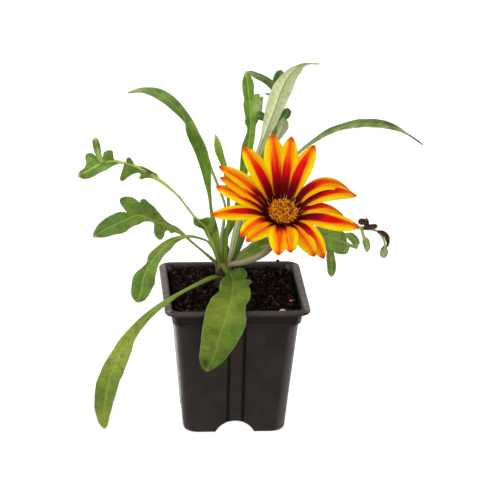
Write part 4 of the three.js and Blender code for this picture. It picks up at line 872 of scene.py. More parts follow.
# path: the midrib from the crown to the tip. face: which way the upper side looks, from foot to tip.
# fold: how many degrees the two halves are raised, at the foot and at the tip. right and left: the
# outline on each hand of someone who looks at the upper face with the tip ahead, as (millimetres along
# the midrib, millimetres out), where a leaf without a left is alike on both hands. leaflets: (share
# along the midrib, half widths from there to the tip, points to its tip). tone: dark, light, yellow,
# rib and felt. yellow and brown: (share along, millimetres left, radius, strength) of patches that
# have turned.
LEAVES = [
    dict(node="leaf_front", fold=(14, 3), tone=("406418", "608624", "a39e2e", "8ea146", "95a86e"),
        path=[(-6.8, 3, 95.5), (-7.9, 0.6, 100.9), (-5.6, -6, 99.6), (-2.3, -12, 97), (-3, -30, 95.8),
            (-5, -43, 92.8), (-8.2, -51, 85.5), (-11.8, -52, 74.8), (-14.6, -51, 62.5), (-19.8, -49, 49.3)],
        face=[(0, -0.2, 1), (0.1, -0.3, 1), (-0.1, -0.35, 1), (-0.2, -1, 0.6), (-0.25, -1, 0.2),
            (-0.2, -1, 0.1)],
        right=[(0, 2.2), (8, 1.7), (17, 2.5), (21.3, 4.9), (29.3, 7.7), (38, 8), (42.7, 8.1), (50.3, 11.2),
            (55.4, 12.6), (62.5, 13.2), (70.2, 12.3), (77.6, 10.9), (88.9, 9.4), (95.7, 7.1), (100, 4.2),
            (101.6, 0.1)],
        left=[(0, 2.2), (8, 1.7), (15.5, 2.8), (17.4, 4.6), (16.5, 7.2), (18.1, 9.9), (21.3, 9.9),
            (25.6, 7.4), (29.1, 11.4), (31.9, 11.7), (35.5, 9.8), (41.8, 11.2), (49.6, 11.9), (53.2, 10.3),
            (58.1, 10.8), (62.1, 12.8), (65.1, 13.2), (69.3, 12.7), (78.8, 10.9), (86.2, 8.1), (93.2, 5.4),
            (100.3, 1.7), (101.6, 0.1)],
        yellow=[(0.42, 1, 12, 0.4), (0.6, -4, 12, 0.6), (0.8, -5, 9, 0.7)],
        brown=[(0.95, -3, 3.4, 0.6), (0.83, 7, 2.2, 0.35), (0.24, 1, 3, 0.2)]),
    dict(node="leaf_low_left", fold=(24, 6), tone=("5c7925", "7a962e", "a4ad3c", "99ac50", "97ad76"),
        path=[(-8, 1.5, 91), (-11, -4, 93.8), (-17.5, -11, 94.8), (-28.6, -21, 93.4), (-40.2, -30.5, 90.9),
            (-47.4, -36, 88.2), (-58.8, -42, 80.2), (-67.2, -46, 71.3), (-73.4, -49, 61),
            (-78.4, -50, 48.5), (-81.3, -51, 36.3), (-82.6, -51, 24.9), (-82.5, -50, 12)],
        face=[(-0.2, -0.4, 1), (-0.1, -0.3, 1), (-0.15, -0.4, 1), (-0.5, -0.8, 0.5), (-0.5, -1, 0.2),
            (-0.35, -1, 0)],
        right=[(0, 2.4), (9, 2.2), (17.2, 1.8), (27.2, 1.4), (49.3, 1.4), (58.4, 2), (67.6, 2.6),
            (77.4, 3.1), (87.6, 4.2), (100.3, 5.5), (110.8, 6.8), (119.7, 7.4), (129.3, 6.6), (137.4, 5.1),
            (143.7, 3), (147.3, 0.1)],
        left=[(0, 2.4), (9, 2.4), (23.8, 2.6), (34, 1.6), (44.7, 2.5), (53.5, 3.6), (60.5, 3.2),
            (68.8, 3.7), (78, 4.4), (86.3, 6), (93.6, 8), (103.6, 8.4), (115.6, 7.4), (125.7, 6.3),
            (136.4, 4.2), (145.4, 2), (147.3, 0.1)],
        yellow=[(0.55, 0, 9, 0.8), (0.66, 0, 11, 1), (0.95, 0, 11, 0.8)],
        brown=[(0.535, 1, 2.5, 0.3)]),
    dict(node="leaf_left_spoon", fold=(20, 4), tone=("507123", "709231", "afa046", "a9ba5e", "a1b17c"),
        path=[(-8.6, 2.6, 95), (-9.4, 2.4, 101.2), (-13.3, -1, 112.1), (-16.9, -5, 118.2),
            (-22.3, -9, 121.8), (-29.8, -14, 125), (-39.3, -18, 123.8), (-45.9, -21, 119.6),
            (-51.5, -23, 113.5), (-55.6, -24, 107), (-57.9, -24.5, 99.9), (-59.1, -25, 92.9),
            (-61.2, -25, 85.6)],
        face=[(-1, -0.4, 0.8), (-0.8, -0.5, 0.8), (-0.3, -0.6, 1), (-0.6, -0.8, 0.7), (-0.6, -1, 0.3),
            (-0.5, -1, 0.1)],
        right=[(0, 1.6), (10, 1.4), (22, 0.9), (46.4, 1.4), (56.4, 2.6), (66.9, 4.1), (72.2, 4),
            (74.7, 2.5), (79.2, 3.6), (83, 6), (88, 6.9), (93, 7), (98.5, 5), (100.8, 1.6), (101.2, 0.1)],
        left=[(0, 1.6), (10, 1.4), (22, 0.9), (46.4, 1.4), (53.4, 3), (60.1, 5), (66.2, 4.7), (72, 5.4),
            (77.2, 7.3), (84.2, 8.5), (92.6, 6.3), (97.9, 3.7), (101.2, 0.1)],
        yellow=[(0.62, 0, 8, 0.4)],
        brown=[(0.86, 6, 3, 0.3)]),
    dict(node="leaf_mid_left", fold=(14, 3), tone=("4f7022", "749630", "bdb552", "a0b45e", "a6b77d"),
        path=[(-8.8, 3.4, 94.5), (-10.6, 3, 100), (-15.1, 0.8, 105.3), (-20.9, -1.5, 111.4),
            (-26.6, -3.2, 117), (-30.5, -5, 121.3), (-40.1, -8, 128.8), (-50.2, -11, 134.3),
            (-60.1, -13, 138.5), (-67.6, -15, 137), (-74.4, -17, 134.5), (-81.8, -19, 131.3),
            (-88.6, -21, 127.8)],
        face=[(-0.5, -0.5, 1), (-0.5, -0.5, 1), (-0.3, -0.8, 1), (-0.2, -1, 0.8), (-0.2, -1, 0.8)],
        right=[(0, 1.6), (10, 1.3), (20, 0.8), (35, 0.9), (45.1, 2.4), (48.5, 2), (54.3, 3.1), (59.9, 7),
            (67.2, 9.3), (69.6, 11.4), (70.7, 10.8), (70.9, 8.6), (71.6, 9.4), (72.6, 11.7), (74.9, 14),
            (78, 14), (79.6, 11.3), (77.8, 7.1), (75.2, 2.4), (77.1, 2.8), (78.8, 4.8), (83, 6.4),
            (89.7, 6.7), (96.6, 5), (102.1, 1.9), (103.3, 0.1)],
        left=[(0, 1.6), (10, 1.3), (20, 0.8), (35, 0.9), (45.5, 2.1), (48.5, 4.7), (51, 3.2), (52.8, 5),
            (54, 9.9), (57, 12.8), (59.9, 10.9), (61, 5.6), (61.2, 1.6), (66.1, 2.6), (73.5, 6.3),
            (79.3, 6.1), (84.8, 7.5), (91, 6), (98.2, 3.8), (103.3, 0.1)],
        yellow=[(0.3, 0, 22, 0.4)],
        brown=[(0.6, -3, 4, 0.3), (0.97, 1, 3, 0.3)]),
    dict(node="leaf_high_left", fold=(8, 4), tone=("577620", "7b9f37", "e4e6ac", "d6e87c", "b6c090"),
        rib_half=0.9,
        path=[(-7.6, 5.6, 95), (-8.4, 5.4, 100.9), (-11.2, 5, 109.8), (-14.5, 4, 117), (-17.5, 3, 124.5),
            (-23.1, 2, 130.3), (-29.1, 1, 137.6), (-35.5, -0.5, 147.2), (-48.2, -2.5, 158.7),
            (-58.4, -4, 165.3), (-67.4, -6, 170.1), (-75.5, -8, 172.3), (-81.9, -10, 172),
            (-87.8, -12, 169.8), (-93.3, -14, 167.3), (-97.9, -15, 165.1)],
        face=[(-1, -0.8, 0.5), (-0.8, -1, 0.6), (-0.4, -1, 0.8), (-0.2, -1, 0.9), (-0.2, -1, 0.9)],
        right=[(0, 2), (12, 1.7), (22.5, 1.9), (27.5, 3), (30.7, 5.6), (31.9, 7.6), (33.5, 8.4), (34.9, 7),
            (36.8, 5.4), (37.5, 3.2), (40, 0.8), (44.4, 0.7), (49.6, 1.1), (52.5, 0.7), (64.7, 0.6),
            (71.8, 1), (78.4, 1.2), (80, 2.4), (83.9, 2.2), (90.4, 2.3), (95.4, 1.1), (97.6, 2.7),
            (99.6, 4.4), (101.5, 3.5), (101.7, 1), (106.5, 0.9), (110.1, 2), (109.7, 4.5), (109.4, 6.9),
            (111.9, 7.5), (114, 6.7), (115.3, 3.8), (118.1, 5.4), (119.3, 8.6), (122.3, 10.1), (123.9, 8.7),
            (125, 5.4), (128.3, 2.7), (131.5, 2.4), (134.3, 0.1)],
        left=[(0, 2), (12, 1.5), (22.3, 1.9), (27.1, 2.4), (31.6, 2.5), (36.1, 3.5), (38.9, 3.8),
            (42.5, 1.2), (46.7, 0.6), (57.1, 0.8), (66.9, 1.1), (75.6, 1.2), (81.8, 1.9), (85.5, 3.4),
            (88.9, 6.2), (90.3, 5.6), (89.8, 2.6), (92.1, 3), (94.5, 4.7), (98.9, 9), (103.1, 12.8),
            (105.7, 12.8), (105.1, 9.4), (101.7, 5.1), (99.5, 1.9), (103.5, 1.1), (109.7, 2.9),
            (115.9, 5.4), (120.9, 5.2), (128.3, 5.2), (131.6, 3.9), (134.3, 0.1)],
        leaflets=[(0.865, (1.7, 1.7, 2.3, 1.9), (-84.4, -12.6, 176.4), (-86.2, -14.6, 184),
            (-87.4, -16, 190.2))],
        yellow=[(0.88, 14, 7, 1), (0.45, 0, 14, 0.3)],
        brown=[(0.635, -1.5, 2.4, 0.9), (0.44, -1, 1.6, 0.6), (0.3, 1, 1.6, 0.4), (0.98, 0, 2, 0.5)]),
    dict(node="leaf_tall_left", fold=(22, 10), tone=("5d7f3b", "82a34a", "b7ba65", "a2b36c", "a7b484"),
        path=[(-6, 7.4, 95), (-6.6, 7.9, 99.9), (-6.8, 8.6, 106.6), (-7, 10.3, 115.3), (-5.7, 13.5, 123.7),
            (-4.8, 17, 133.6), (-8.1, 20, 143.2), (-12.1, 23, 152.8), (-16.7, 26, 162.4),
            (-21.7, 28.5, 172.8), (-27.4, 30.5, 184.4), (-34.9, 32, 193.4), (-43.7, 33, 200.7),
            (-54.6, 33.5, 204.8), (-66.2, 34, 202.7)],
        face=[(-1, -0.4, 0.3), (-1, -0.5, 0.2), (-0.8, -0.8, 0.3), (-0.4, -1, 0.5), (-0.2, -1, 0.8)],
        right=[(0, 1.8), (12, 1.5), (22, 1.6), (32, 1.1), (45, 0.9), (60, 1.1), (67.8, 1.9), (76.9, 4.2),
            (85, 4.3), (93.8, 3.4), (102.5, 3.3), (111, 3.9), (119, 3.9), (126, 3.3), (132.4, 1.8),
            (137.6, 1.4), (144.8, 0.1)],
        left=[(0, 1.8), (12, 1.5), (22, 1.6), (32, 1.1), (45, 0.9), (65, 1.2), (80, 2.6), (90, 2.9),
            (98, 2.5), (105, 2.9), (115.4, 3.5), (124, 3.5), (132, 2.7), (139, 1.3), (144.8, 0.1)],
        brown=[(0.75, 3, 8, 0.12), (0.9, 1, 6, 0.1), (0.995, 0, 2.5, 0.6)]),
    dict(node="leaf_upright_left", fold=(24, 8), tone=("50791b", "739c29", "aea83b", "839b40", "a4b476"),
        path=[(-6.8, 4.4, 95.5), (-7.8, 4.2, 101), (-9.8, 2.6, 111.6), (-11.7, 1.5, 123.4),
            (-14.4, 0, 135.9), (-16.7, -2, 150.5), (-19.5, -3.5, 166.7), (-23.9, -5, 180.9),
            (-27.8, -7, 190.6), (-31.7, -9, 200.3)],
        face=[(-0.6, -1, 0.3), (-0.5, -1, 0.2), (-0.3, -1, 0.2), (-0.2, -1, 0.2)],
        right=[(0, 1.7), (10, 1.6), (20, 2.2), (28, 2.5), (35, 1.9), (42.5, 1.1), (55.2, 1.8), (63.2, 2.7),
            (74.2, 4.4), (85.6, 4.4), (95.6, 3.4), (103.6, 1.8), (109.1, 0.1)],
        left=[(0, 1.7), (10, 1.6), (20, 2.2), (28, 2.5), (35, 1.9), (42.3, 1.1), (55, 1), (63.2, 2),
            (73.3, 2.8), (84.4, 3.2), (94.5, 3.7), (102, 3), (105.2, 1.8), (109.1, 0.1)],
        yellow=[(0.2, 0, 14, 0.7)],
        brown=[(0.995, 0, 1.5, 0.5)]),
    dict(node="leaf_small", fold=(22, 10), tone=("5b8a1f", "7fa82b", "c6d451", "93ad4a", "9db272"),
        path=[(-5.2, 5, 95.5), (-5.4, 5.2, 100.1), (-5, 6, 108), (-4, 9, 117.4), (-3, 12.5, 126),
            (-4.2, 16, 152.6), (-6.2, 17, 161.2), (-8.2, 17.5, 167.2), (-9.8, 18, 173), (-11.7, 18, 180.9)],
        face=[(0, -1, 0.4), (0, -1, 0.3), (-0.2, -1, 0.2)],
        right=[(0, 1.7), (12, 1.4), (30.6, 1), (55.6, 1.3), (67, 1.9), (72.9, 2.1), (78.1, 2.3),
            (83.4, 1.9), (88.2, 0.1)],
        left=[(0, 1.7), (12, 1.4), (30.6, 1), (55.6, 1.3), (68, 2), (72.5, 2.3), (77.6, 2.8), (83.3, 1.8),
            (88.2, 0.1)],
        yellow=[(0.96, 0, 6, 0.9)]),
    dict(node="leaf_toothed_top", fold=(24, 10), tone=("608c26", "89b43c", "dfe6b6", "c6dd70", "b9c79a"),
        rib_half=0.45,
        path=[(-5.4, 9, 95), (-5.8, 9.8, 99.9), (-6, 11.2, 107.5), (-5, 13.2, 114.6), (-2.2, 15.5, 120.5),
            (1, 18, 126.5), (5.6, 22, 142.4), (7, 25, 156), (9.3, 27, 169.2), (11, 28, 180),
            (10.5, 29, 192.8), (9.4, 30, 204.3), (7.4, 30, 218)],
        face=[(0.2, -1, 0.3), (0.1, -1, 0.3), (0, -1, 0.2), (0, -1, 0.3)],
        right=[(0, 2), (12, 1.7), (20, 2.3), (30, 2.8), (46.3, 2.2), (65.3, 3), (79.4, 3.6), (88.6, 3.3),
            (93.7, 3.4), (96.3, 5), (99.9, 6), (101.9, 7.5), (107.2, 8.2), (111.1, 9.1), (111.7, 8.2),
            (111, 6.8), (113.5, 6.9), (113, 5.1), (113.1, 3.5), (118.9, 4), (123.7, 3.3), (127.1, 2.2),
            (128.8, 0.1)],
        left=[(0, 2), (12, 1.7), (20, 2.1), (30, 2.5), (46.3, 2.2), (65.9, 2.7), (72, 3.4), (78.9, 3.9),
            (82.9, 3.5), (87.1, 2.6), (91.6, 2.3), (96.2, 4), (97.9, 3.4), (103.3, 3.9), (108.1, 4.1),
            (110.4, 3.3), (116.1, 3.8), (122.4, 3.1), (126.8, 1.3), (128.8, 0.1)],
        yellow=[(0.815, -7.6, 4.4, 1)]),
    dict(node="leaf_hooked_top", fold=(22, 14), tone=("698743", "8aa65c", "a2a34b", "a9b884", "b4c090"),
        path=[(-3.6, 8.8, 95), (-3.1, 9, 99.4), (0.2, 11.8, 106.2), (4, 16.4, 113), (13.8, 27, 134.3),
            (23.4, 34.5, 158.4), (28.4, 38.5, 180.6), (28, 39.3, 197), (25.4, 39, 206), (20.9, 38.3, 210),
            (15, 37.6, 212.8), (8.4, 37, 215.6)],
        face=[(0, -1, 0.5), (0, -1, 0.4), (-0.5, -1, 0), (-0.4, -1, 0.4)],
        right=[(0, 2), (12, 1.5), (30.6, 1), (95.8, 1), (112.8, 1.4), (120.9, 1.9), (128.9, 2),
            (136.9, 1.9), (140.9, 1.5), (143.3, 0.1)],
        left=[(0, 2), (12, 1.5), (30.6, 1), (95.8, 1), (112.8, 1.4), (118.9, 2.2), (123.9, 3), (129.9, 2.8),
            (136.9, 2.2), (140.9, 1.2), (143.3, 0.1)],
        brown=[(0.9, 1, 3, 0.25)]),
    dict(node="leaf_feathered_top", fold=(18, 8), tone=("456b2d", "689046", "909446", "9db274", "ccd3a8"),
        path=[(-2.4, 6.8, 96), (-1.7, 7, 100.4), (0.9, 9, 107), (4, 13, 114.6), (7.3, 20, 133.5),
            (16.1, 26.6, 154.2), (21.6, 29, 166.8), (26.5, 30, 177.6), (29.5, 31, 187.8), (29.9, 31, 197.7),
            (28.4, 31, 206.8), (28, 30, 212.2)],
        face=[(0, -1, 0.5), (0, -1, 0.4), (0, -1, 0.2), (0, -1, 0.4)],
        right=[(0, 1.8), (12, 1.6), (26, 1.5), (30.6, 1), (60.8, 1.1), (78.9, 1.8), (97.1, 1.8), (105.1, 1),
            (113.2, 1.4), (126.3, 0.6)],
        leaflets=[(0.96, (1.6, 3, 3.2, 2.2), (27.2, 30, 211.4), (28.6, 30, 215), (30, 30, 218.4)),
            (0.87, (1, 1, 0.8, 0.1), (24.7, 32, 201.2), (22.5, 33, 201.7), (19.4, 33, 202.9)),
            (0.75, (1, 2.2, 3, 2.6), (30.4, 29, 187.5), (33, 28.5, 190), (34.2, 28, 194.4)),
            (0.6, (1.2, 1.8, 3.6, 1.3), (27.9, 27, 174.6), (31.2, 26, 182.6), (31.6, 25, 189)),
            (0.77, (0.8, 1.4, 2.4, 2.7, 1.4), (24, 30, 188), (19.6, 28, 188.2), (16.9, 26.6, 189.9),
            (13.4, 26, 191.9))],
        brown=[(0.88, 4, 3, 0.5)]),
    dict(node="leaf_pale_back", fold=(20, 8), tone=("5d863f", "7ca151", "9db45c", "8fa54a", "e8efb8"),
        path=[(-2.6, 4, 96), (-2.7, 4, 101), (-0.8, 4, 109.7), (0.9, 5.2, 118.6), (3.4, 8.4, 127.8),
            (10, 14, 149.5), (15.5, 17, 169.2), (20.2, 18, 183.3), (25.4, 18, 198.3), (29.8, 17, 212.2),
            (34.5, 15, 221.6), (41, 12, 227.4), (51.4, 6, 229.8)],
        face=[(-0.2, 1, 0.2), (-0.2, 1, 0.1), (-0.2, 1, 0.1), (-0.1, 1, 0.2), (0.1, 1, 0.3), (0, 0.4, 1)],
        right=[(0, 1.6), (14, 1.9), (24, 2.1), (34, 1.9), (44, 1.6), (60.3, 1.4), (77.8, 1.6), (85.6, 1.9),
            (92.5, 3), (100.2, 4.7), (106.5, 5.8), (114.8, 6.2), (122.2, 5.4), (128.1, 4.2), (134.7, 2.9),
            (140.3, 1.6), (146.3, 1.3), (154.9, 0.1)],
        left=[(0, 1.6), (14, 2), (24, 2.3), (34, 2), (44, 1.7), (60.3, 1.8), (79.3, 3), (89.3, 3.8),
            (98, 5.5), (105.7, 5.7), (112.3, 6.4), (121.5, 6.9), (127.8, 6.3), (135.5, 6), (142.5, 3.3),
            (148.3, 1.3), (154.9, 0.1)]),
    dict(node="leaf_arch_right", fold=(20, 16), tone=("4c6d29", "6f923c", "b8bb7b", "9eb76e", "b1c08c"),
        path=[(-1.4, 7.6, 95), (0.1, 8.6, 100.4), (3.9, 11.4, 107.3), (7.2, 14.6, 114.1),
            (12.3, 18.5, 125.1), (26.9, 25.5, 147.9), (43.6, 28.4, 166.2), (51.7, 29, 172.2),
            (60.9, 28.7, 178.1), (70, 26.7, 182), (80.2, 22.6, 185), (91, 17.8, 186.2), (100.6, 13.7, 185),
            (108.3, 10, 182.1), (117.2, 4, 177.3)],
        face=[(-0.6, -1, 0.6), (-0.6, -1, 0.6), (-0.5, -0.6, 1), (-0.2, -0.5, 1), (0, -0.5, 1),
            (0.2, -0.5, 1)],
        right=[(0, 2.2), (14.4, 1.8), (30.4, 1.2), (80.6, 1.3), (88.6, 1.2), (98.6, 1.8), (107.7, 2.6),
            (116.7, 2.9), (124.7, 3.7), (132.7, 4), (140.7, 3.9), (148.8, 3.3), (154.8, 2), (160.8, 0.8),
            (167.8, 0.5), (174.2, 0.1)],
        yellow=[(share, -3.4, 4, 0.9) for share in (0.6, 0.66, 0.72, 0.78, 0.84, 0.9)],
        brown=[(0.8, 3, 3, 0.25), (0.86, 2, 3, 0.4), (0.97, 0, 6, 0.7)]),
    dict(node="leaf_under_flower", fold=(32, 5), tone=("5a7a32", "8cb04a", "c8cc60", "b0c064", "a4b880"),
        path=[(-1.2, 4.6, 95), (2.2, 3, 101.6), (6, 4, 104.4), (13.5, 6, 108.4), (23, 8, 110.8),
            (35.7, 9, 112.2), (48.2, 9, 114.4), (57.5, 7.5, 116.3), (63.7, 5, 115.1), (70.5, 3, 112.8),
            (77.8, 0, 110.9)],
        face=[(-0.3, -1, 0.8), (-0.2, -1, 0.9), (0, -1, 0.8), (0, -1, 0.7), (0.1, -1, 0.7)],
        right=[(0, 2), (5, 2), (9.5, 2.6), (15.5, 4.9), (23, 4.2), (29, 3.2), (38, 3), (43.6, 5),
            (45.4, 6.8), (47, 6), (48.6, 2.5), (52, 3), (58, 6), (66, 8), (73, 8.1), (74.8, 7.8),
            (76.7, 8.8), (79.3, 8.2), (83, 6.8), (84.2, 5.3), (83.6, 3), (83.2, 1.4), (86, 0.9),
            (88.2, 0.8), (88.8, 0.2)],
        left=[(0, 2), (5, 1.4), (11.8, 1.4), (17, 2.1), (22, 3.4), (26, 4.7), (30, 5.2), (40, 5.2), (50, 4),
            (57, 5), (63.7, 6.5), (72.6, 6.5), (77.2, 6.3), (79.3, 4.9), (80.6, 1.7), (84, 1.1), (88, 0.9),
            (88.8, 0.2)],
        leaflets=[(0.68, (1.5, 2, 2.8, 2.9, 1.2), (60, 3, 109.3), (60.8, 1, 104.2), (61.4, -1, 99),
            (61.2, -2, 92.8)), (0.78, (0.8, 1.4, 2.6, 2.6, 0.4), (70.3, 6, 117.8), (73.8, 4, 117.3),
            (76, 2, 115.2), (77.7, 0, 112))],
        yellow=[(0.75, 5, 8, 0.3)],
        brown=[(0.85, -2, 3, 0.2)]),
    dict(node="leaf_far_right", fold=(12, 4), tone=("4f7f2b", "75a540", "c9c474", "ced68e", "a8bc84"),
        path=[(-1, 6, 94.5), (2.6, 7.6, 102.2), (8.4, 11, 106.8), (18.5, 15, 113), (36.4, 18.5, 117.2),
            (55.5, 19, 118), (71.2, 17.5, 117.8), (80.7, 16, 118.6), (84.2, 14, 118.8), (87.7, 12, 119),
            (91.2, 10, 118.2), (93.8, 8, 115.5), (95.1, 6, 112.8), (95.5, 5, 109.7), (95.3, 4, 106.6)],
        face=[(-0.2, -1, 1), (-0.1, -1, 1), (0, -1, 0.9), (0, -1, 0.9), (0.6, -1, 0.6), (0.9, -1, 0.2)],
        right=[(0, 2), (10, 1.6), (22, 1), (90, 0.9), (97, 1.2), (103, 0.8), (116, 0.8), (121, 0.7)],
        leaflets=[(0.785, (1.2, 0.9, 2.4, 2, 0.1), (82.4, 13, 114.7), (84.2, 12, 110.7),
            (84.9, 10.5, 107.4), (84.5, 10, 104.2)), (0.8, (0.7, 1.5, 2, 2.2), (84.3, 13, 121.5),
            (82.8, 13, 123.6), (78.8, 13, 123.9)), (0.8, (0.7, 1.2, 1.4, 0.3), (84.6, 13, 121),
            (84.4, 12.6, 123.8), (83.9, 12, 126.8)), (0.79, (0.7, 1.6, 1.5), (86.5, 11.5, 121),
            (90.9, 9.5, 122.2)), (0.875, (0.7, 1.5, 1.7, 0.9, 0.5), (94.2, 8, 118.1), (96.5, 7, 115.9),
            (97.4, 6, 111.5), (96.4, 5.5, 109.2)), (0.965, (1, 2.6, 2.2), (94.9, 4.2, 106.8),
            (94.4, 3, 103))],
        yellow=[(0.9, 0, 12, 0.6)],
        brown=[(0.975, 2, 1.6, 0.8)]),
]
DRIED_LEAFLETS = {"leaf_far_right": (1, 2, 3, 4)}
TURNED_LEAFLETS = {"leaf_feathered_top": (3,), "leaf_far_right": (5,)}  # these show their felt


def leaf_tissue_group():
    """Green tissue with its rib, its side veins, and the patches that have turned."""
    black = (0.0, 0.0, 0.0, 1.0)
    group, given, result = new_group(
        "leaf_tissue", {**dict.fromkeys(TONES, black), "Seed": 0.0, "Rib Half": PLAIN_RIB_HALF},
        {"Color": "Color", "Roughness": "Float", "Height": "Float"})
    across, along, wide = axes(group, attribute(group, "way")["Vector"])
    yellowed, browned, _ = axes(group, attribute(group, "turned")["Vector"])
    under = attribute(group, "under")["Fac"]
    out = calc(group, "ABSOLUTE", across)
    edge = calc(group, "DIVIDE", out, calc(group, "MAXIMUM", wide, 0.1))

    def cloud(grain, shift):
        """Noise of that grain in millimetres, different for each leaf."""
        return clouds(group, 1 / MM / grain, plus(group, given["Seed"], shift))

    # side veins climb towards the tip, where the blade is broad enough to have them
    wander = times(group, minus(group, cloud(6, 1.0), 0.5), 2.4)
    climb = minus(group, plus(group, along, wander), times(group, out, 0.95))
    beat = calc(group, "FRACT", calc(group, "DIVIDE", climb, VEIN_STEP))
    beat = calc(group, "ABSOLUTE", minus(group, beat, 0.5))
    veins = outside(group, ease(group, beat, 0.02, 0.11))
    broad = ease(group, wide, 2.0, 4.0)
    veins = times(group, veins, broad, ease(group, edge, 1.0, 0.6))
    net = add_node(group, "ShaderNodeTexVoronoi", {"Vector": own_place(group), "Scale": 1 / MM / NET_GRAIN},
                   feature="DISTANCE_TO_EDGE")
    net = ease(group, net.outputs["Distance"], 0.0, 0.16)
    # the rib, which is no wider than a plain one where the blade is narrow and the rib half is large
    swollen = calc(group, "MAXIMUM", minus(group, given["Rib Half"], PLAIN_RIB_HALF), 0.0)
    swollen = times(group, swollen, 0.8, ease(group, wide, 1.6, 3.4))
    rib_half = plus(group, times(group, wide, 0.03), minus(group, given["Rib Half"], swollen))
    rib = outside(group, ease(group, calc(group, "DIVIDE", out, rib_half), 0.5, 1.25))
    # mottled greens, with what has yellowed over them
    tissue = blend(group, ease(group, cloud(9, 2.0), 0.35, 0.68), given["Dark"], given["Light"])
    tissue = tint(group, tissue, given["Dark"], ease(group, cloud(1.3, 3.0), 0.5, 0.75), 0.35)
    deep = blend(group, 0.55, given["Dark"], "1c3214")
    tissue = tint(group, tissue, deep, ease(group, cloud(3.2, 10.0), 0.5, 0.72), 0.55)
    tissue = tint(group, tissue, "7c6a3c", ease(group, cloud(4.5, 11.0), 0.52, 0.72), 0.3)
    tissue = tint(group, tissue, given["Light"], outside(group, net), 0.14)
    tissue = tint(group, tissue, given["Rib"], veins, 0.13)
    patchy = times(group, yellowed, ease(group, cloud(5, 4.0), 0.25, 0.6))
    tissue = tint(group, tissue, given["Yellow"], patchy, 0.85)
    tissue = tint(group, tissue, given["Rib"], rib, 0.5)
    tissue = tint(group, tissue, given["Felt"], ease(group, edge, 0.93, 0.99), times(group, broad, 0.4))
    # the grey felt of the lower side
    greener = blend(group, 0.25, given["Felt"], given["Light"])
    felt = blend(group, ease(group, cloud(2.5, 5.0), 0.3, 0.7), given["Felt"], greener)
    felt = tint(group, felt, given["Rib"], rib, 0.75)
    felt = tint(group, felt, given["Rib"], veins, 0.1)
    whole = blend(group, under, tissue, felt)
    # the stalk is pale, its foot is brown, and dried parts are darker still
    whole = tint(group, whole, given["Rib"], ease(group, wide, 2.6, 1.3), 0.55)
    whole = tint(group, whole, "93764f", ease(group, along, 14.0, 2.0), 0.6)
    dried = times(group, browned, plus(group, ease(group, cloud(1.6, 6.0), 0.3, 0.6), 0.5))
    dried = add_node(group, "ShaderNodeClamp", {0: dried}).outputs[0]
    whole = tint(group, whole, blend(group, cloud(2, 7.0), "2c1a14", "5c3a26"), dried)
    group.links.new(whole, result["Color"])
    rough = plus(group, times(group, under, 0.25), times(group, cloud(2, 8.0), 0.3))
    group.links.new(plus(group, rough, 0.32), result["Roughness"])
    height = minus(group, times(group, net, 0.3), times(group, veins, 0.8))
    height = plus(group, height, times(group, cloud(1.2, 9.0), 0.6))
    group.links.new(height, result["Height"])
    return group


LEAF_TISSUE = leaf_tissue_group()


def leaf_material(name, tone, rib_half, seed):
    material, tree, shader = new_material(name, specular=0.22)
    tissue = add_node(tree, "ShaderNodeGroup", node_tree=LEAF_TISSUE)
    for label, code in zip(TONES, tone):
        tissue.inputs[label].default_value = shade(code)
    tissue.inputs["Seed"].default_value = seed
    tissue.inputs["Rib Half"].default_value = rib_half
    tree.links.new(tissue.outputs["Roughness"], shader.inputs["Roughness"])
    surface(tree, shader, tissue.outputs["Color"], tissue.outputs["Height"], 0.22)
    return material


def outline_rows(leaf, length):
    """A blade's rows: their shares of the midrib, and the half widths and forward reaches of both hands."""
    edges = []
    for outline in (leaf["right"], leaf.get("left", leaf["right"])):
        edge = smooth_path(outline, 6)
        run = run_along(edge)
        fine = np.linspace(0, run[-1], int(run[-1] / ROW_STEP) + 1)
        along, out = (np.interp(fine, run, edge[:, k]) for k in (0, 1))
        along = along * length / along[-1]
        # where an outline turns back on itself, its rows spring from almost one place on the midrib
        ahead = np.maximum.accumulate(along)
        behind = np.minimum.accumulate(along[::-1])[::-1]
        place = 0.475 * (ahead + behind) + 0.05 * length * fine / run[-1]
        edges.append((place, along, out))
    rows = np.unique(np.concatenate([place for place, _, _ in edges]))
    rows = rows[np.concatenate([[True], np.diff(rows) > 0.02])]
    halves = [np.interp(rows, place, np.maximum(out, 0.05)) for place, _, out in edges]
    reaches = [np.interp(rows, place, along) - rows for place, along, _ in edges]
    return rows / length, halves, reaches


def turned_values(leaf, way, length):
    """How far each point has yellowed, and how far it has dried."""
    values = np.zeros_like(way)
    for column, kind in enumerate(("yellow", "brown")):
        for place, left, radius, strength in leaf.get(kind, []):
            far = np.hypot(way[:, 1] - place * length, way[:, 0] - left) / radius
            values[:, column] = np.maximum(values[:, column], strength * np.exp(-far ** 2))
    return values


def leaflet_shell(foot, widths, tail, seed, turned_over):
    """A lobe that stands out of the blade's own surface, as a small blade of its own."""
    points = [foot, *tail]
    at, length = midline(points, np.array(LEAFLET_FACE) * (-1 if turned_over else 1))
    chords = run_along(points)
    shape = smooth_path(list(zip(chords / chords[-1], widths)), 8)
    rows = np.unique(np.concatenate([np.linspace(0, 0.85, 12), 1 - 0.15 * np.linspace(1, 0, 9) ** 2]))
    end = np.clip(1 - (1 - rows) * length / widths[-1], 0, 1)
    width = np.maximum(np.interp(rows, shape[:, 0], shape[:, 1]) * np.sqrt(1 - end ** 2), 0.04)

    def lift(share, hand, spread, wide):
        wave = np.sin(share * length / 1.9 + seed + hand)
        return 0.35 * np.sin(np.pi * spread) + 0.2 * spread ** 2 * wave

    def ribbed(depth):
        return lambda share, spread, wide: SKIN + depth * np.exp(-(spread * wide / 0.5) ** 2)

    return blade_shell(at, length, rows, LEAFLET_ACROSS, (width, width), (0 * rows, 0 * rows), (8, 8), lift,
                       ribbed(0.1), ribbed(0.3))


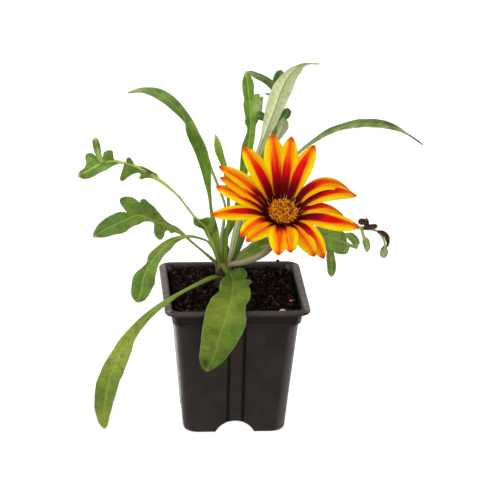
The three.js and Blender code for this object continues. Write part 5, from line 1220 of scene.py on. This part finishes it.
def leaf_shells(leaf, seed):
    at, length = midline(leaf["path"], leaf["face"])
    rows, halves, reaches = outline_rows(leaf, length)

    def lift(share, hand, spread, wide):
        """The blade's soft waves and the dip along its midrib."""
        run = share * length
        wave = np.sin(run / 2.3 + seed + 1.3 * hand) + 0.6 * np.sin(run / 1.37 + 2 * seed - hand)
        return np.clip((wide - 2) / 4, 0, 1) * (0.34 * wave * spread ** 2 + 0.5 * np.sin(np.pi * spread))

    def rib(share, spread, wide):
        """The thickness of the midrib or stalk at a place, round in section."""
        taper = 1 - 0.65 * share
        half = np.minimum(PETIOLE["half"] * taper, np.maximum(wide, 0.5))
        thick = PETIOLE["thick"] * taper * half / PETIOLE["half"]
        return np.maximum(thick, 0.5) * np.sqrt(np.clip(1 - (spread * wide / half) ** 2, 0, 1))

    def stalk_share(wide):
        return np.clip(1 - (wide - 1.6) / 2, 0, 1)

    def top(share, spread, wide):
        return SKIN + rib(share, spread, wide) * (0.05 + 0.35 * stalk_share(wide))

    def bottom(share, spread, wide):
        return SKIN + rib(share, spread, wide) * (0.75 - 0.25 * stalk_share(wide))

    points, faces, way, under = blade_shell(at, length, rows, ACROSS, halves, reaches, leaf["fold"], lift,
                                            top, bottom)
    shells = [(points, faces, way, turned_values(leaf, way, length), under)]
    for number, (place, widths, *tail) in enumerate(leaf.get("leaflets", [])):
        foot = at(np.array([place]))[0][0]
        over = number in TURNED_LEAFLETS.get(leaf["node"], ())
        points, faces, way, under = leaflet_shell(foot, widths, tail, seed + number, over)
        way = way + (0, place * length, 0)
        turned = turned_values(leaf, way, length)
        if number in DRIED_LEAFLETS.get(leaf["node"], ()):
            turned[:, 1] = 1
        shells.append((points, faces, way, turned, under))
    return shells


HAIR_RADIUS = 0.04


def down_tree():
    """Short fine hairs that stand on a skin. On a blade they are thickest along its margins."""
    tree, given = new_tree("down", {"Density": 1.0, "Off Margins": 1.0, "Length": 0.5, "Seed": 1,
                                    "Material": None})
    way = add_node(tree, "GeometryNodeInputNamedAttribute", {"Name": "way"}, data_type="FLOAT_VECTOR")
    across, _, wide = axes(tree, way.outputs[0])
    edge = calc(tree, "DIVIDE", calc(tree, "ABSOLUTE", across), calc(tree, "MAXIMUM", wide, 0.1))
    on_margins = times(tree, ease(tree, edge, 0.84, 0.96), ease(tree, wide, 1.5, 3.0))
    share = calc(tree, "MAXIMUM", on_margins, given["Off Margins"])
    density = times(tree, given["Density"], share, MM ** -2)
    spread = add_node(tree, "GeometryNodeDistributePointsOnFaces",
                      {"Mesh": given["Geometry"], "Density": density, "Seed": given["Seed"]})
    leaning = add_node(tree, "FunctionNodeRandomValue", {0: (-0.6, -0.6, 0), 1: (0.6, 0.6, FULL_TURN),
                                                         8: given["Seed"]}, data_type="FLOAT_VECTOR")
    leaning = add_node(tree, "FunctionNodeEulerToRotation", {0: leaning.outputs[0]})
    turn = add_node(tree, "FunctionNodeRotateRotation", {0: spread.outputs["Rotation"],
                                                         1: leaning.outputs[0]}, rotation_space="LOCAL")
    hair = add_node(tree, "GeometryNodeMeshCone", {"Vertices": 3, "Side Segments": 1, "Radius Top": 0.0,
                                                   "Radius Bottom": HAIR_RADIUS * MM,
                                                   "Depth": times(tree, given["Length"], MM)},
                    fill_type="NGON")
    size = random_value(tree, 0.5, 1.0, given["Seed"], 1)
    stood = add_node(tree, "GeometryNodeInstanceOnPoints",
                     {"Points": spread.outputs["Points"], "Instance": hair.outputs["Mesh"],
                      "Rotation": turn.outputs[0], "Scale": size})
    end_tree(tree, stood.outputs[0], given["Material"])
    return tree


def down_on(skin, name, density, off_margins, length, seed):
    """A piece of hairs for the skin of another piece."""
    return grown_on(name, skin, DOWN, {"Density": density, "Off Margins": off_margins, "Length": length,
                                       "Seed": seed, "Material": DOWN_WHITE})


DOWN = down_tree()
DOWN_WHITE, _, down_shader = new_material("down_white", roughness=0.6, specular=0.3)
down_shader.inputs["Base Color"].default_value = shade("dfe3cf")
for number, leaf in enumerate(LEAVES):
    title = leaf["node"].replace("leaf_", "") + "_leaf"
    blade = join_shells(title, leaf_shells(leaf, 1.7 * number), ("way", "turned", "under"))
    blade.data.materials.append(leaf_material(title, leaf["tone"], leaf.get("rib_half", PLAIN_RIB_HALF),
                                              3.0 * number))
    hairs = down_on(blade, title + "_down", density=2.4, off_margins=0.08, length=0.45, seed=number)
    for piece in (blade, hairs):
        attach(piece, "root")
        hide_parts(leaf["node"])

# ================================================================ flower stem
# The leafless stalk that carries the head, fleshy and downy, and flushed with purple where it turns up
# into the light. It swells into a green cup of fused bracts whose free points clasp the petals.
STEM_PATH = [(-3.6, 3, 95.5), (-2.2, 1.4, 100), (1.4, -1, 101.8), (5.4, -3.6, 103.6), (9.8, -6, 106),
             (15.4, -9, 109.8), (20.4, -11.5, 114.8), (24.4, -13.2, 122), (26.6, -15.3, 131.5),
             (27, -16.4, 135)]
STEM_RADIUS = (1.5, 2.3)  # at its foot and at the cup
STEM_FLUSH = (108, 118)  # the heights between which it turns purple
STEM_GREEN = (122, 132)  # and those between which the purple ends
HEAD_CENTRE = np.array([27.5, -22, 143.8])
HEAD_AXIS = np.array([0.041, -0.556, 0.83])
CUP_PROFILE = [(0.4, -12), (2.6, -11.6), (4.6, -9.4), (6.4, -6), (7.6, -2.6), (7.4, -1.3), (0.4, -1.3)]
BRACTS = dict(count=13, half=1.7, thick=0.6, foot=-8.2, row_rise=0.6, tip_radius=12)

head_axis = HEAD_AXIS / np.linalg.norm(HEAD_AXIS)
head_right = unit(np.cross((0, 0, 1), head_axis))
head_up = np.cross(head_axis, head_right)


def on_head(points):
    """From the head's own frame, right, up and out along its axis, to the pot's."""
    return np.asarray(points, float) @ np.array([head_right, head_up, head_axis]) + HEAD_CENTRE


def bract(number, row):
    """One pointed bract on the cup."""
    turn = (number + 0.5 * row) / BRACTS["count"] * 2 * math.pi
    foot = BRACTS["foot"] + BRACTS["row_rise"] * row
    profile = ((5.4, 0), (7.5, 3.2), (8.8, 5.4), (BRACTS["tip_radius"] - row, 6.6))
    path = [on_head((r * math.cos(turn), r * math.sin(turn), foot + rise)) for r, rise in profile]
    outward = on_head((math.cos(turn), math.sin(turn), 0.4)) - HEAD_CENTRE
    rows = np.linspace(0, 1, 12)
    width = np.maximum(BRACTS["half"] * (1 - rows) ** 0.7, 0.05)
    return plain_strip(path, -outward, width, rows, (12, 4), BRACTS["thick"])


def stem_skin():
    material, tree, shader = new_material("stem_skin", roughness=0.5, specular=0.4)
    height = axes(tree, own_place(tree))["Z"]
    flush, green = (ease(tree, height, low * MM, high * MM) for low, high in (STEM_FLUSH, STEM_GREEN))
    skin = blend(tree, mottle(tree, 5, 41.0), "b59f80", "a3a066")
    skin = tint(tree, skin, "6b4640", flush, 0.8)
    skin = tint(tree, skin, "6f8a4a", green)
    skin = tint(tree, skin, "6b5138", mottle(tree, 1, 42.0, 0.5, 0.75), 0.3)
    surface(tree, shader, skin, mottle(tree, 1.1, 43.0), 0.1)
    return material


stem_line = smooth_path(STEM_PATH, 9)
stem_radii = np.linspace(*STEM_RADIUS, len(stem_line))
stem_radii *= 1 + 0.03 * np.sin(np.arange(len(stem_line)) * 0.9)
scape = loft("scape", tube(stem_line, stem_radii, 20))
cup_line = smooth_path([(r, 0, w) for r, w in CUP_PROFILE], 6)[:, [0, 2]]
cup = loft("bract_cup", [on_head(round_ring(r, w, 40)) for r, w in cup_line])
bracts = join_shells("bracts", [bract(i, row) for row in (0, 1) for i in range(BRACTS["count"])], ())
stem_material = stem_skin()
for piece in (scape, cup, bracts):
    piece.data.materials.append(stem_material)
scape_down = down_on(scape, "scape_down", density=3, off_margins=1, length=0.6, seed=31)
cup_down = down_on(cup, "cup_down", density=2, off_margins=1, length=0.5, seed=32)
for piece in (scape, cup, bracts, scape_down, cup_down):
    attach(piece, "root")
    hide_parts("flower_stem")

# ================================================================ ray petals
# Eighteen long pointed petals round the head, satin yellow at the margins and orange within, each with
# a red stripe that darkens to maroon at its foot. Fine ridges run from foot to tip.
# (direction from the right, tip radius, rise, arch, half width, turn at the foot), then its paint:
# (stripe to the left, stripe half width, how far it reaches, yellow on the left, on the right)
PETALS = [
    ((58.7, 43.9, 17, 3, 5.9, 2), (0.15, 0.6, 0.8, 0.3, 1)),
    ((78.4, 44.5, 18, 3, 6.1, 1), (0.05, 0.5, 0.62, 0.7, 0.8)),
    ((93.7, 45.4, 19, 2.5, 7, 2), (0, 0.5, 0.62, 0.9, 0.6)),
    ((119.5, 44, 16.5, 3, 6.5, -2), (0.05, 0.5, 0.7, 1, 0.5)),
    ((148.3, 45.3, 16, 3, 5.2, -8), (0.2, 0.4, 0.45, 0.5, 0.9)),
    ((154.2, 42.3, 11.5, 3.5, 5, 0), (0.1, 0.35, 0.5, 0.3, 0.4)),
    ((160, 43, 8, 3.5, 5.2, 10), (-0.1, 0.55, 0.62, 1, 0.2)),
    ((189.5, 47, 9, 3, 5.5, 1), (-0.15, 0.5, 0.75, 1, 0.8)),
    ((218.5, 37.5, 7, 4, 5.6, -4), (-0.1, 0.5, 0.48, 0.3, 1)),
    ((227, 39.3, 9.5, 2.5, 5, 7), (0, 0.25, 0.28, 1, 0.4)),
    ((258.3, 39.4, 8, 4, 6.3, -4), (0.05, 0.5, 0.45, 0.5, 1)),
    ((269, 37, 7.5, 3.5, 5.6, 4), (-0.3, 0.25, 0.4, 1, 0.5)),
    ((293.3, 39, 1, 3, 5.6, -1), (0, 0.25, 0.3, 0.7, 0.9)),
    ((301.2, 41.6, -2, 4, 5.8, 9), (0.05, 0.42, 0.62, 1, 0.6)),
    ((342.3, 48.4, 1, 3, 6.2, -6), (0.15, 0.6, 0.8, 0.6, 1)),
    ((357.3, 38, -5, 6.5, 3.8, 0), (0.3, 0.6, 0.6, 0, 0.4)),
    ((12.6, 49.4, -1, 8, 5.8, 5), (0.1, 0.55, 0.75, 0.3, 1)),
    ((19.2, 48.2, -4, 11.8, 4.8, 15), (0.25, 0.6, 0.55, 0.5, 0.7)),
]
PETAL_ACROSS = np.array([0, 0.12, 0.25, 0.38, 0.5, 0.63, 0.76, 0.88, 0.96, 1])
PETAL_ACROSS = np.concatenate([-PETAL_ACROSS[:0:-1], PETAL_ACROSS])
PETAL_SKIN = 0.22
CLAW = dict(foot=5.5, end=10.4, blade=10.6, half=1.9, w=-0.4)  # a petal's narrow foot
PLATE_PROFILE = [(0.3, -1.0), (10.5, -1.0), (12, -0.9), (12, -0.75), (9, -0.5), (8.8, 0.35), (0.3, 0.35)]


def petal_shell(shape, paint, seed):
    direction, reach, rise, arch, half, foot_turn = shape

    def spot(radius, w, share):
        angle = math.radians(direction + foot_turn * (1 - share))
        return on_head((radius * math.cos(angle), radius * math.sin(angle), w))

    path = [spot(CLAW["foot"], CLAW["w"], 0), spot(CLAW["end"], CLAW["w"], 0)]
    path += [spot(CLAW["blade"] + (reach - CLAW["blade"]) * s, 0.7 + rise * s + arch * 4 * s * (1 - s), s)
             for s in (0.2, 0.45, 0.7, 0.88, 1)]
    at, length = midline(path, [head_axis, head_axis])
    rows = np.concatenate([np.linspace(0, 0.9, 34), 1 - 0.1 * np.linspace(1, 0, 9)[1:] ** 1.5])
    x = np.clip((rows - 0.06) / 0.94, 0.01, 1)
    width = CLAW["half"] * (1 - x) + half * (x / 0.6) ** 1.05 * ((1 - x) / 0.4) ** 0.7 * 0.92
    width = np.maximum(width, 0.06)

    def lift(share, hand, spread, wide):
        """Two ridges each side of the middle groove, and a soft lengthwise wave."""
        ridges = 0.16 * np.cos(spread * 2.5 * 2 * np.pi) * np.clip(wide / 4, 0, 1) * (1 - spread ** 4)
        sway = 0.5 * np.sin(share * 5 + seed) * np.clip(share - 0.2, 0, 1)
        return ridges + sway + 0.25 * hand * spread ** 2 * np.sin(share * 7 + 2 * seed)

    def skin(share, spread, wide):
        return PETAL_SKIN * (1 - 0.5 * spread)

    points, faces, way, under = blade_shell(at, length, rows, PETAL_ACROSS, (width, width),
                                            (0 * rows, 0 * rows), (-4, -12), lift, skin, skin)
    petalway = np.stack([way[:, 0] / way[:, 2], way[:, 1] / length, np.full(len(way), seed)], 1)
    stripe = np.tile(paint[:3], (len(way), 1))
    margins = np.stack([np.full(len(way), paint[3]), np.full(len(way), paint[4]), under], 1)
    return points, faces, petalway, stripe, margins


def petal_satin():
    material, tree, shader = new_material("petal_satin", specular=0.04)
    (across, along, seed), (middle, stripe_half, stripe_end), (yellow_left, yellow_right, under) = (
        axes(tree, attribute(tree, name)["Vector"]) for name in ("petalway", "stripe", "margins"))

    def streaked(times_across, times_along, detail, roughness):
        """Noise drawn out along the petal."""
        spot = combined(tree, times(tree, across, times_across), times(tree, along, times_along), seed)
        return add_node(tree, "ShaderNodeTexNoise", {"Vector": spot, "Scale": 1.0, "Detail": detail,
                                                     "Roughness": roughness}).outputs["Fac"]

    # the red stripe, with ragged ends and an orange edge
    streaks = streaked(7.0, 3.0, 4.0, 0.65)
    fine = streaked(26.0, 6.0, 2.0, 0.5)
    ragged = times(tree, minus(tree, streaks, 0.5), 0.55)
    off = calc(tree, "ABSOLUTE", minus(tree, across, middle))
    taper = ramp(tree, along, 1.4, 0.3, low=0.2, high=1.0)
    reach = calc(tree, "DIVIDE", off, times(tree, stripe_half, taper))
    inside = outside(tree, ease(tree, plus(tree, reach, ragged), 0.65, 1.15))
    fade = outside(tree, ease(tree, minus(tree, plus(tree, along, ragged), stripe_end), -0.12, 0.16))
    red = times(tree, inside, fade)
    thread = outside(tree, ease(tree, plus(tree, times(tree, reach, 1.35), ragged), 0.4, 1.35))
    # yellow towards the margins, more on one side than on the other
    left = calc(tree, "GREATER_THAN", across, 0.0)
    yellow_side = add_node(tree, "ShaderNodeMix", {0: left, 2: yellow_right, 3: yellow_left}).outputs[0]
    rim = ease(tree, plus(tree, calc(tree, "ABSOLUTE", across), ragged), 0.26, 0.74)
    yellow = times(tree, rim, plus(tree, times(tree, yellow_side, 0.75), 0.2))
    paint = blend(tree, yellow, "ff9600", "ffe600")
    paint = tint(tree, paint, "ff8a04", ease(tree, along, 0.6, 0.25), 0.65)
    paint = tint(tree, paint, "ff7a04", ease(tree, fine, 0.48, 0.7), 0.4)
    # painted sheen: pale streaks past the stripe stand in for the petals' glints
    painted_sheen = times(tree, ease(tree, streaks, 0.56, 0.68), ease(tree, along, 0.5, 0.68),
                     ease(tree, along, 0.92, 0.8))
    paint = tint(tree, paint, "ffd060", painted_sheen, 0.35)
    paint = tint(tree, paint, "ff4a0c", thread, 0.85)
    paint = tint(tree, paint, blend(tree, ease(tree, along, 0.35, 0.6), "b00410", "e40e0e"), red)
    # the foot darkens to maroon, the tip is red, and the back has a dull band
    foot = plus(tree, plus(tree, along, times(tree, ragged, 0.35)), times(tree, reach, reach, 0.1))
    dark = outside(tree, ease(tree, foot, 0.26, 0.52))
    ring = outside(tree, ease(tree, along, 0.13, 0.21))
    paint = tint(tree, paint, "640408", dark, inside)
    paint = tint(tree, paint, "3a0207", ring)
    tip = ease(tree, plus(tree, along, times(tree, ragged, 0.1)), 0.88, 0.975)
    paint = tint(tree, paint, "e4380e", tip, 0.85)
    band = outside(tree, ease(tree, calc(tree, "ABSOLUTE", across), 0.2, 0.55))
    paint = tint(tree, paint, blend(tree, band, "e8a51c", "8a6a2a"), under)
    tree.links.new(ramp(tree, streaks, 0.32, 0.55), shader.inputs["Roughness"])
    surface(tree, shader, paint, plus(tree, fine, streaks), 0.25)
    return material


def head_maroon():
    material, tree, shader = new_material("head_maroon", roughness=0.7, specular=0.3)
    maroon = blend(tree, mottle(tree, 1.5, 51.0), "240204", "4c0a0a")
    surface(tree, shader, maroon, mottle(tree, 0.8, 52.0), 0.2)
    return material


petals = [petal_shell(shape, paint, 1.9 * i) for i, (shape, paint) in enumerate(PETALS)]
rays = join_shells("ray_florets", petals, ("petalway", "stripe", "margins"))
rays.data.materials.append(petal_satin())
plate_line = smooth_path([(r, 0, w) for r, w in PLATE_PROFILE], 4)[:, [0, 2]]
plate = loft("head_plate", [on_head(round_ring(r, w, 48)) for r, w in plate_line])
plate.data.materials.append(head_maroon())
for piece in (rays, plate):
    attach(piece, "root")
    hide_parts("ray_petals")

# ================================================================ disc florets
# The head's eye: over three hundred tiny tube flowers packed in a spiral on a low dome, orange with
# pollen, inside a ring of taller ones that lean outwards.
DISC = dict(radius=9.3, bulge=1.7, edge=1.75, floor=0.75, drop=1.9)  # drop: how far below the head's middle
PACKED = {"Count": 330, "Inner": 0.0, "Outer": 8.9, "Width": 0.5, "Length": 1.5, "Lean": 0.3, "Seed": 3}
RIM = {"Count": 38, "Inner": 8.0, "Outer": 9.4, "Width": 0.36, "Length": 4.0, "Lean": 0.9, "Seed": 9}


def dome_rings():
    turns = np.linspace(0, math.pi / 2, 14)
    profile = [(0.3, DISC["floor"]), (DISC["radius"] * 0.88, DISC["floor"])]
    profile += [(max(DISC["radius"] * math.cos(t), 0.1), DISC["edge"] + DISC["bulge"] * math.sin(t))
                for t in turns]
    return [on_head(round_ring(r, w, 44) - (0, DISC["drop"], 0)) for r, w in profile]


def floret_tree():
    """Tube flowers in a golden-angle spiral between two radii, leaning outwards from the axis."""
    tree, given = new_tree("disc_florets", {**PACKED, "Material": None})
    index = add_node(tree, "GeometryNodeInputIndex").outputs[0]
    share = calc(tree, "DIVIDE", plus(tree, index, 0.5), given["Count"])
    inner, outer = (times(tree, given[label], given[label]) for label in ("Inner", "Outer"))
    radius = calc(tree, "SQRT", plus(tree, inner, times(tree, share, minus(tree, outer, inner))))
    angle = times(tree, index, math.pi * (3 - math.sqrt(5)))
    cosine, sine = calc(tree, "COSINE", angle), calc(tree, "SINE", angle)
    rim = calc(tree, "DIVIDE", radius, DISC["radius"] * 1.03)
    bow = calc(tree, "SQRT", outside(tree, times(tree, rim, rim)))
    height = plus(tree, times(tree, bow, DISC["bulge"]), DISC["edge"])
    place = combined(tree, times(tree, radius, cosine), times(tree, radius, sine), height)
    scaled = add_node(tree, "ShaderNodeVectorMath", {0: place, "Scale": MM}, operation="SCALE")
    points = add_node(tree, "GeometryNodePoints", {"Count": given["Count"], "Position": scaled.outputs[0]})
    tilt = times(tree, given["Lean"], random_value(tree, 0.5, 1.4, given["Seed"], 1))
    tilt = times(tree, tilt, rim)
    lean = combined(tree, times(tree, cosine, tilt), times(tree, sine, tilt), 1.0)
    turn = add_node(tree, "FunctionNodeAlignRotationToVector", {"Vector": lean}, axis="Z")
    width = times(tree, given["Width"], MM)
    length = times(tree, given["Length"], MM)
    floret = add_node(tree, "GeometryNodeMeshCone", {"Vertices": 6, "Side Segments": 3,
                                                     "Radius Top": times(tree, width, 0.55),
                                                     "Radius Bottom": width, "Depth": length},
                      fill_type="TRIANGLE_FAN")
    size = random_value(tree, 0.55, 1.25, given["Seed"], 2)
    stood = add_node(tree, "GeometryNodeInstanceOnPoints",
                     {"Points": points.outputs[0], "Instance": floret.outputs["Mesh"],
                      "Rotation": turn.outputs[0], "Scale": size})
    end_tree(tree, toned(tree, stood.outputs[0], given["Seed"], 3), given["Material"])
    return tree


def floret_brown(name, dark, middle, light):
    material, tree, shader = new_material(name, roughness=0.65, specular=0.12)
    tone = attribute(tree, "tone")["Fac"]
    mixed = blend(tree, ease(tree, tone, 0.05, 0.45), dark, middle)
    mixed = tint(tree, mixed, light, ease(tree, tone, 0.5, 0.95))
    surface(tree, shader, mixed, mottle(tree, 0.3, 61.0), 0.08)
    return material


def to_head(piece):
    """Moves a mesh made round the origin, in metres, to the head."""
    turn = Matrix([[*row, 0] for row in np.stack([head_right, head_up, head_axis], 1)] + [[0, 0, 0, 1]])
    piece.data.transform(Matrix.Translation(placed(HEAD_CENTRE - head_up * DISC["drop"])) @ turn)


dome = loft("disc_dome", dome_rings())
dome.data.materials.append(floret_brown("dome_brown", "4a1a04", "7a3408", "a85410"))
disc_pieces = [dome]
for name, settings, tones in (("packed_florets", PACKED, ("942e04", "ff8c08", "ffcc3c")),
                              ("rim_florets", RIM, ("4a120a", "9a3412", "e09858"))):
    florets = new_object(name, np.zeros((3, 3)), [])
    grow(florets, floret_tree(), {**settings, "Material": floret_brown(name, *tones)})
    to_head(florets)
    florets.data.shade_smooth()
    disc_pieces.append(florets)
for piece in disc_pieces:
    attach(piece, "root")
    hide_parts("disc_florets")

# ================================================================ stage
# A white floor under a soft white sky, with a large soft light at the left, a weaker one at the right
# and a long lens that looks down on the pot from the front.
FLOOR_HALF = 6000
FLOOR_BEHIND = (-50, 60)  # where the floor grows brighter in a mirror, from front to back
CAMERA_PLACE = (-131, -1664.1, 742.5)  # from the pot's foot, in millimetres
CAMERA_TURN = dict(right=4.84, down=20.73, roll=1.21)
LENS = 205.8
SKY = 0.3
# name, place in metres, size, power
LIGHTS = [("left_key", (-1.1, -0.35, 0.75), 0.9, 9.5), ("top_soft", (0.1, -0.5, 1.5), 1.4, 7.8),
          ("right_fill", (1.3, 0.3, 0.6), 0.8, 3.2), ("front_fill", (0.2, -1.6, 0.9), 1.0, 5.0),
          ("left_back", (-1.3, 1.3, 0.45), 1.6, 9.0)]
LIGHT_AIM = Vector((0, 0, 0.1))


def floor_white():
    """A white floor that the eye, and a mirror, sees without a shadow, and that throws less light back."""
    material, tree, shader = new_material("floor_white", roughness=0.9, specular=0.1)
    white = blend(tree, mottle(tree, 300, 71.0, 0.2, 0.8), "cfcfcf", "c6c6c6")
    tree.links.new(white, shader.inputs["Base Color"])
    shader.inputs["Emission Color"].default_value = (1, 1, 1, 1)
    shader.inputs["Emission Strength"].default_value = 0.15
    ray = add_node(tree, "ShaderNodeLightPath").outputs
    place = axes(tree, own_place(tree))["Y"]
    behind = ease(tree, place, FLOOR_BEHIND[0] * MM, FLOOR_BEHIND[1] * MM)
    strength = calc(tree, "MAXIMUM", ray["Is Camera Ray"], plus(tree, times(tree, behind, 1.2), 0.15))
    bare = add_node(tree, "ShaderNodeEmission", {"Color": (1, 1, 1, 1), "Strength": strength})
    eye = calc(tree, "MAXIMUM", ray["Is Camera Ray"], ray["Is Glossy Ray"])
    seen = add_node(tree, "ShaderNodeMixShader", {0: eye, 1: shader.outputs[0], 2: bare.outputs[0]})
    tree.links.new(seen.outputs[0], tree.nodes["Material Output"].inputs["Surface"])
    return material


floor_corners = [(x * FLOOR_HALF, y * FLOOR_HALF, 0) for x, y in ((-1, -1), (1, -1), (1, 1), (-1, 1))]
floor = new_object("floor", floor_corners, [(0, 1, 2, 3)])
floor.data.materials.append(floor_white())

scene = bpy.context.scene
world = bpy.data.worlds.new("white_sky")
scene.world = world
world.use_nodes = True
sky = world.node_tree.nodes["Background"]
sky.inputs["Color"].default_value = (1, 1, 1, 1)
eye = add_node(world.node_tree, "ShaderNodeLightPath").outputs["Is Camera Ray"]
world.node_tree.links.new(calc(world.node_tree, "MAXIMUM", eye, SKY), sky.inputs["Strength"])
for name, place, size, power in LIGHTS:
    lamp = bpy.data.lights.new(name, "AREA")
    lamp.size = size
    lamp.energy = power
    made = bpy.data.objects.new(name, lamp)
    made.location = place
    made.rotation_euler = (LIGHT_AIM - Vector(place)).to_track_quat("-Z", "Y").to_euler()
    made.visible_camera = False
    scene.collection.objects.link(made)

yaw, pitch, roll = (math.radians(CAMERA_TURN[key]) for key in ("right", "down", "roll"))
look = Vector((math.sin(yaw) * math.cos(pitch), math.cos(yaw) * math.cos(pitch), -math.sin(pitch)))
level = Vector((math.cos(yaw), -math.sin(yaw), 0))
upright = level.cross(look)
sideways = level * math.cos(roll) + upright * math.sin(roll)
overhead = upright * math.cos(roll) - level * math.sin(roll)
camera = bpy.data.objects.new("camera", bpy.data.cameras.new("camera"))
camera.data.lens = LENS
camera.data.sensor_width = 36
camera.data.clip_end = 50
camera.matrix_world = (Matrix.Translation(placed(CAMERA_PLACE))
                       @ Matrix([[*row, 0] for row in zip(sideways, overhead, -look)] + [[0, 0, 0, 1]]))
scene.collection.objects.link(camera)
scene.camera = camera
scene.view_settings.view_transform = "Standard"
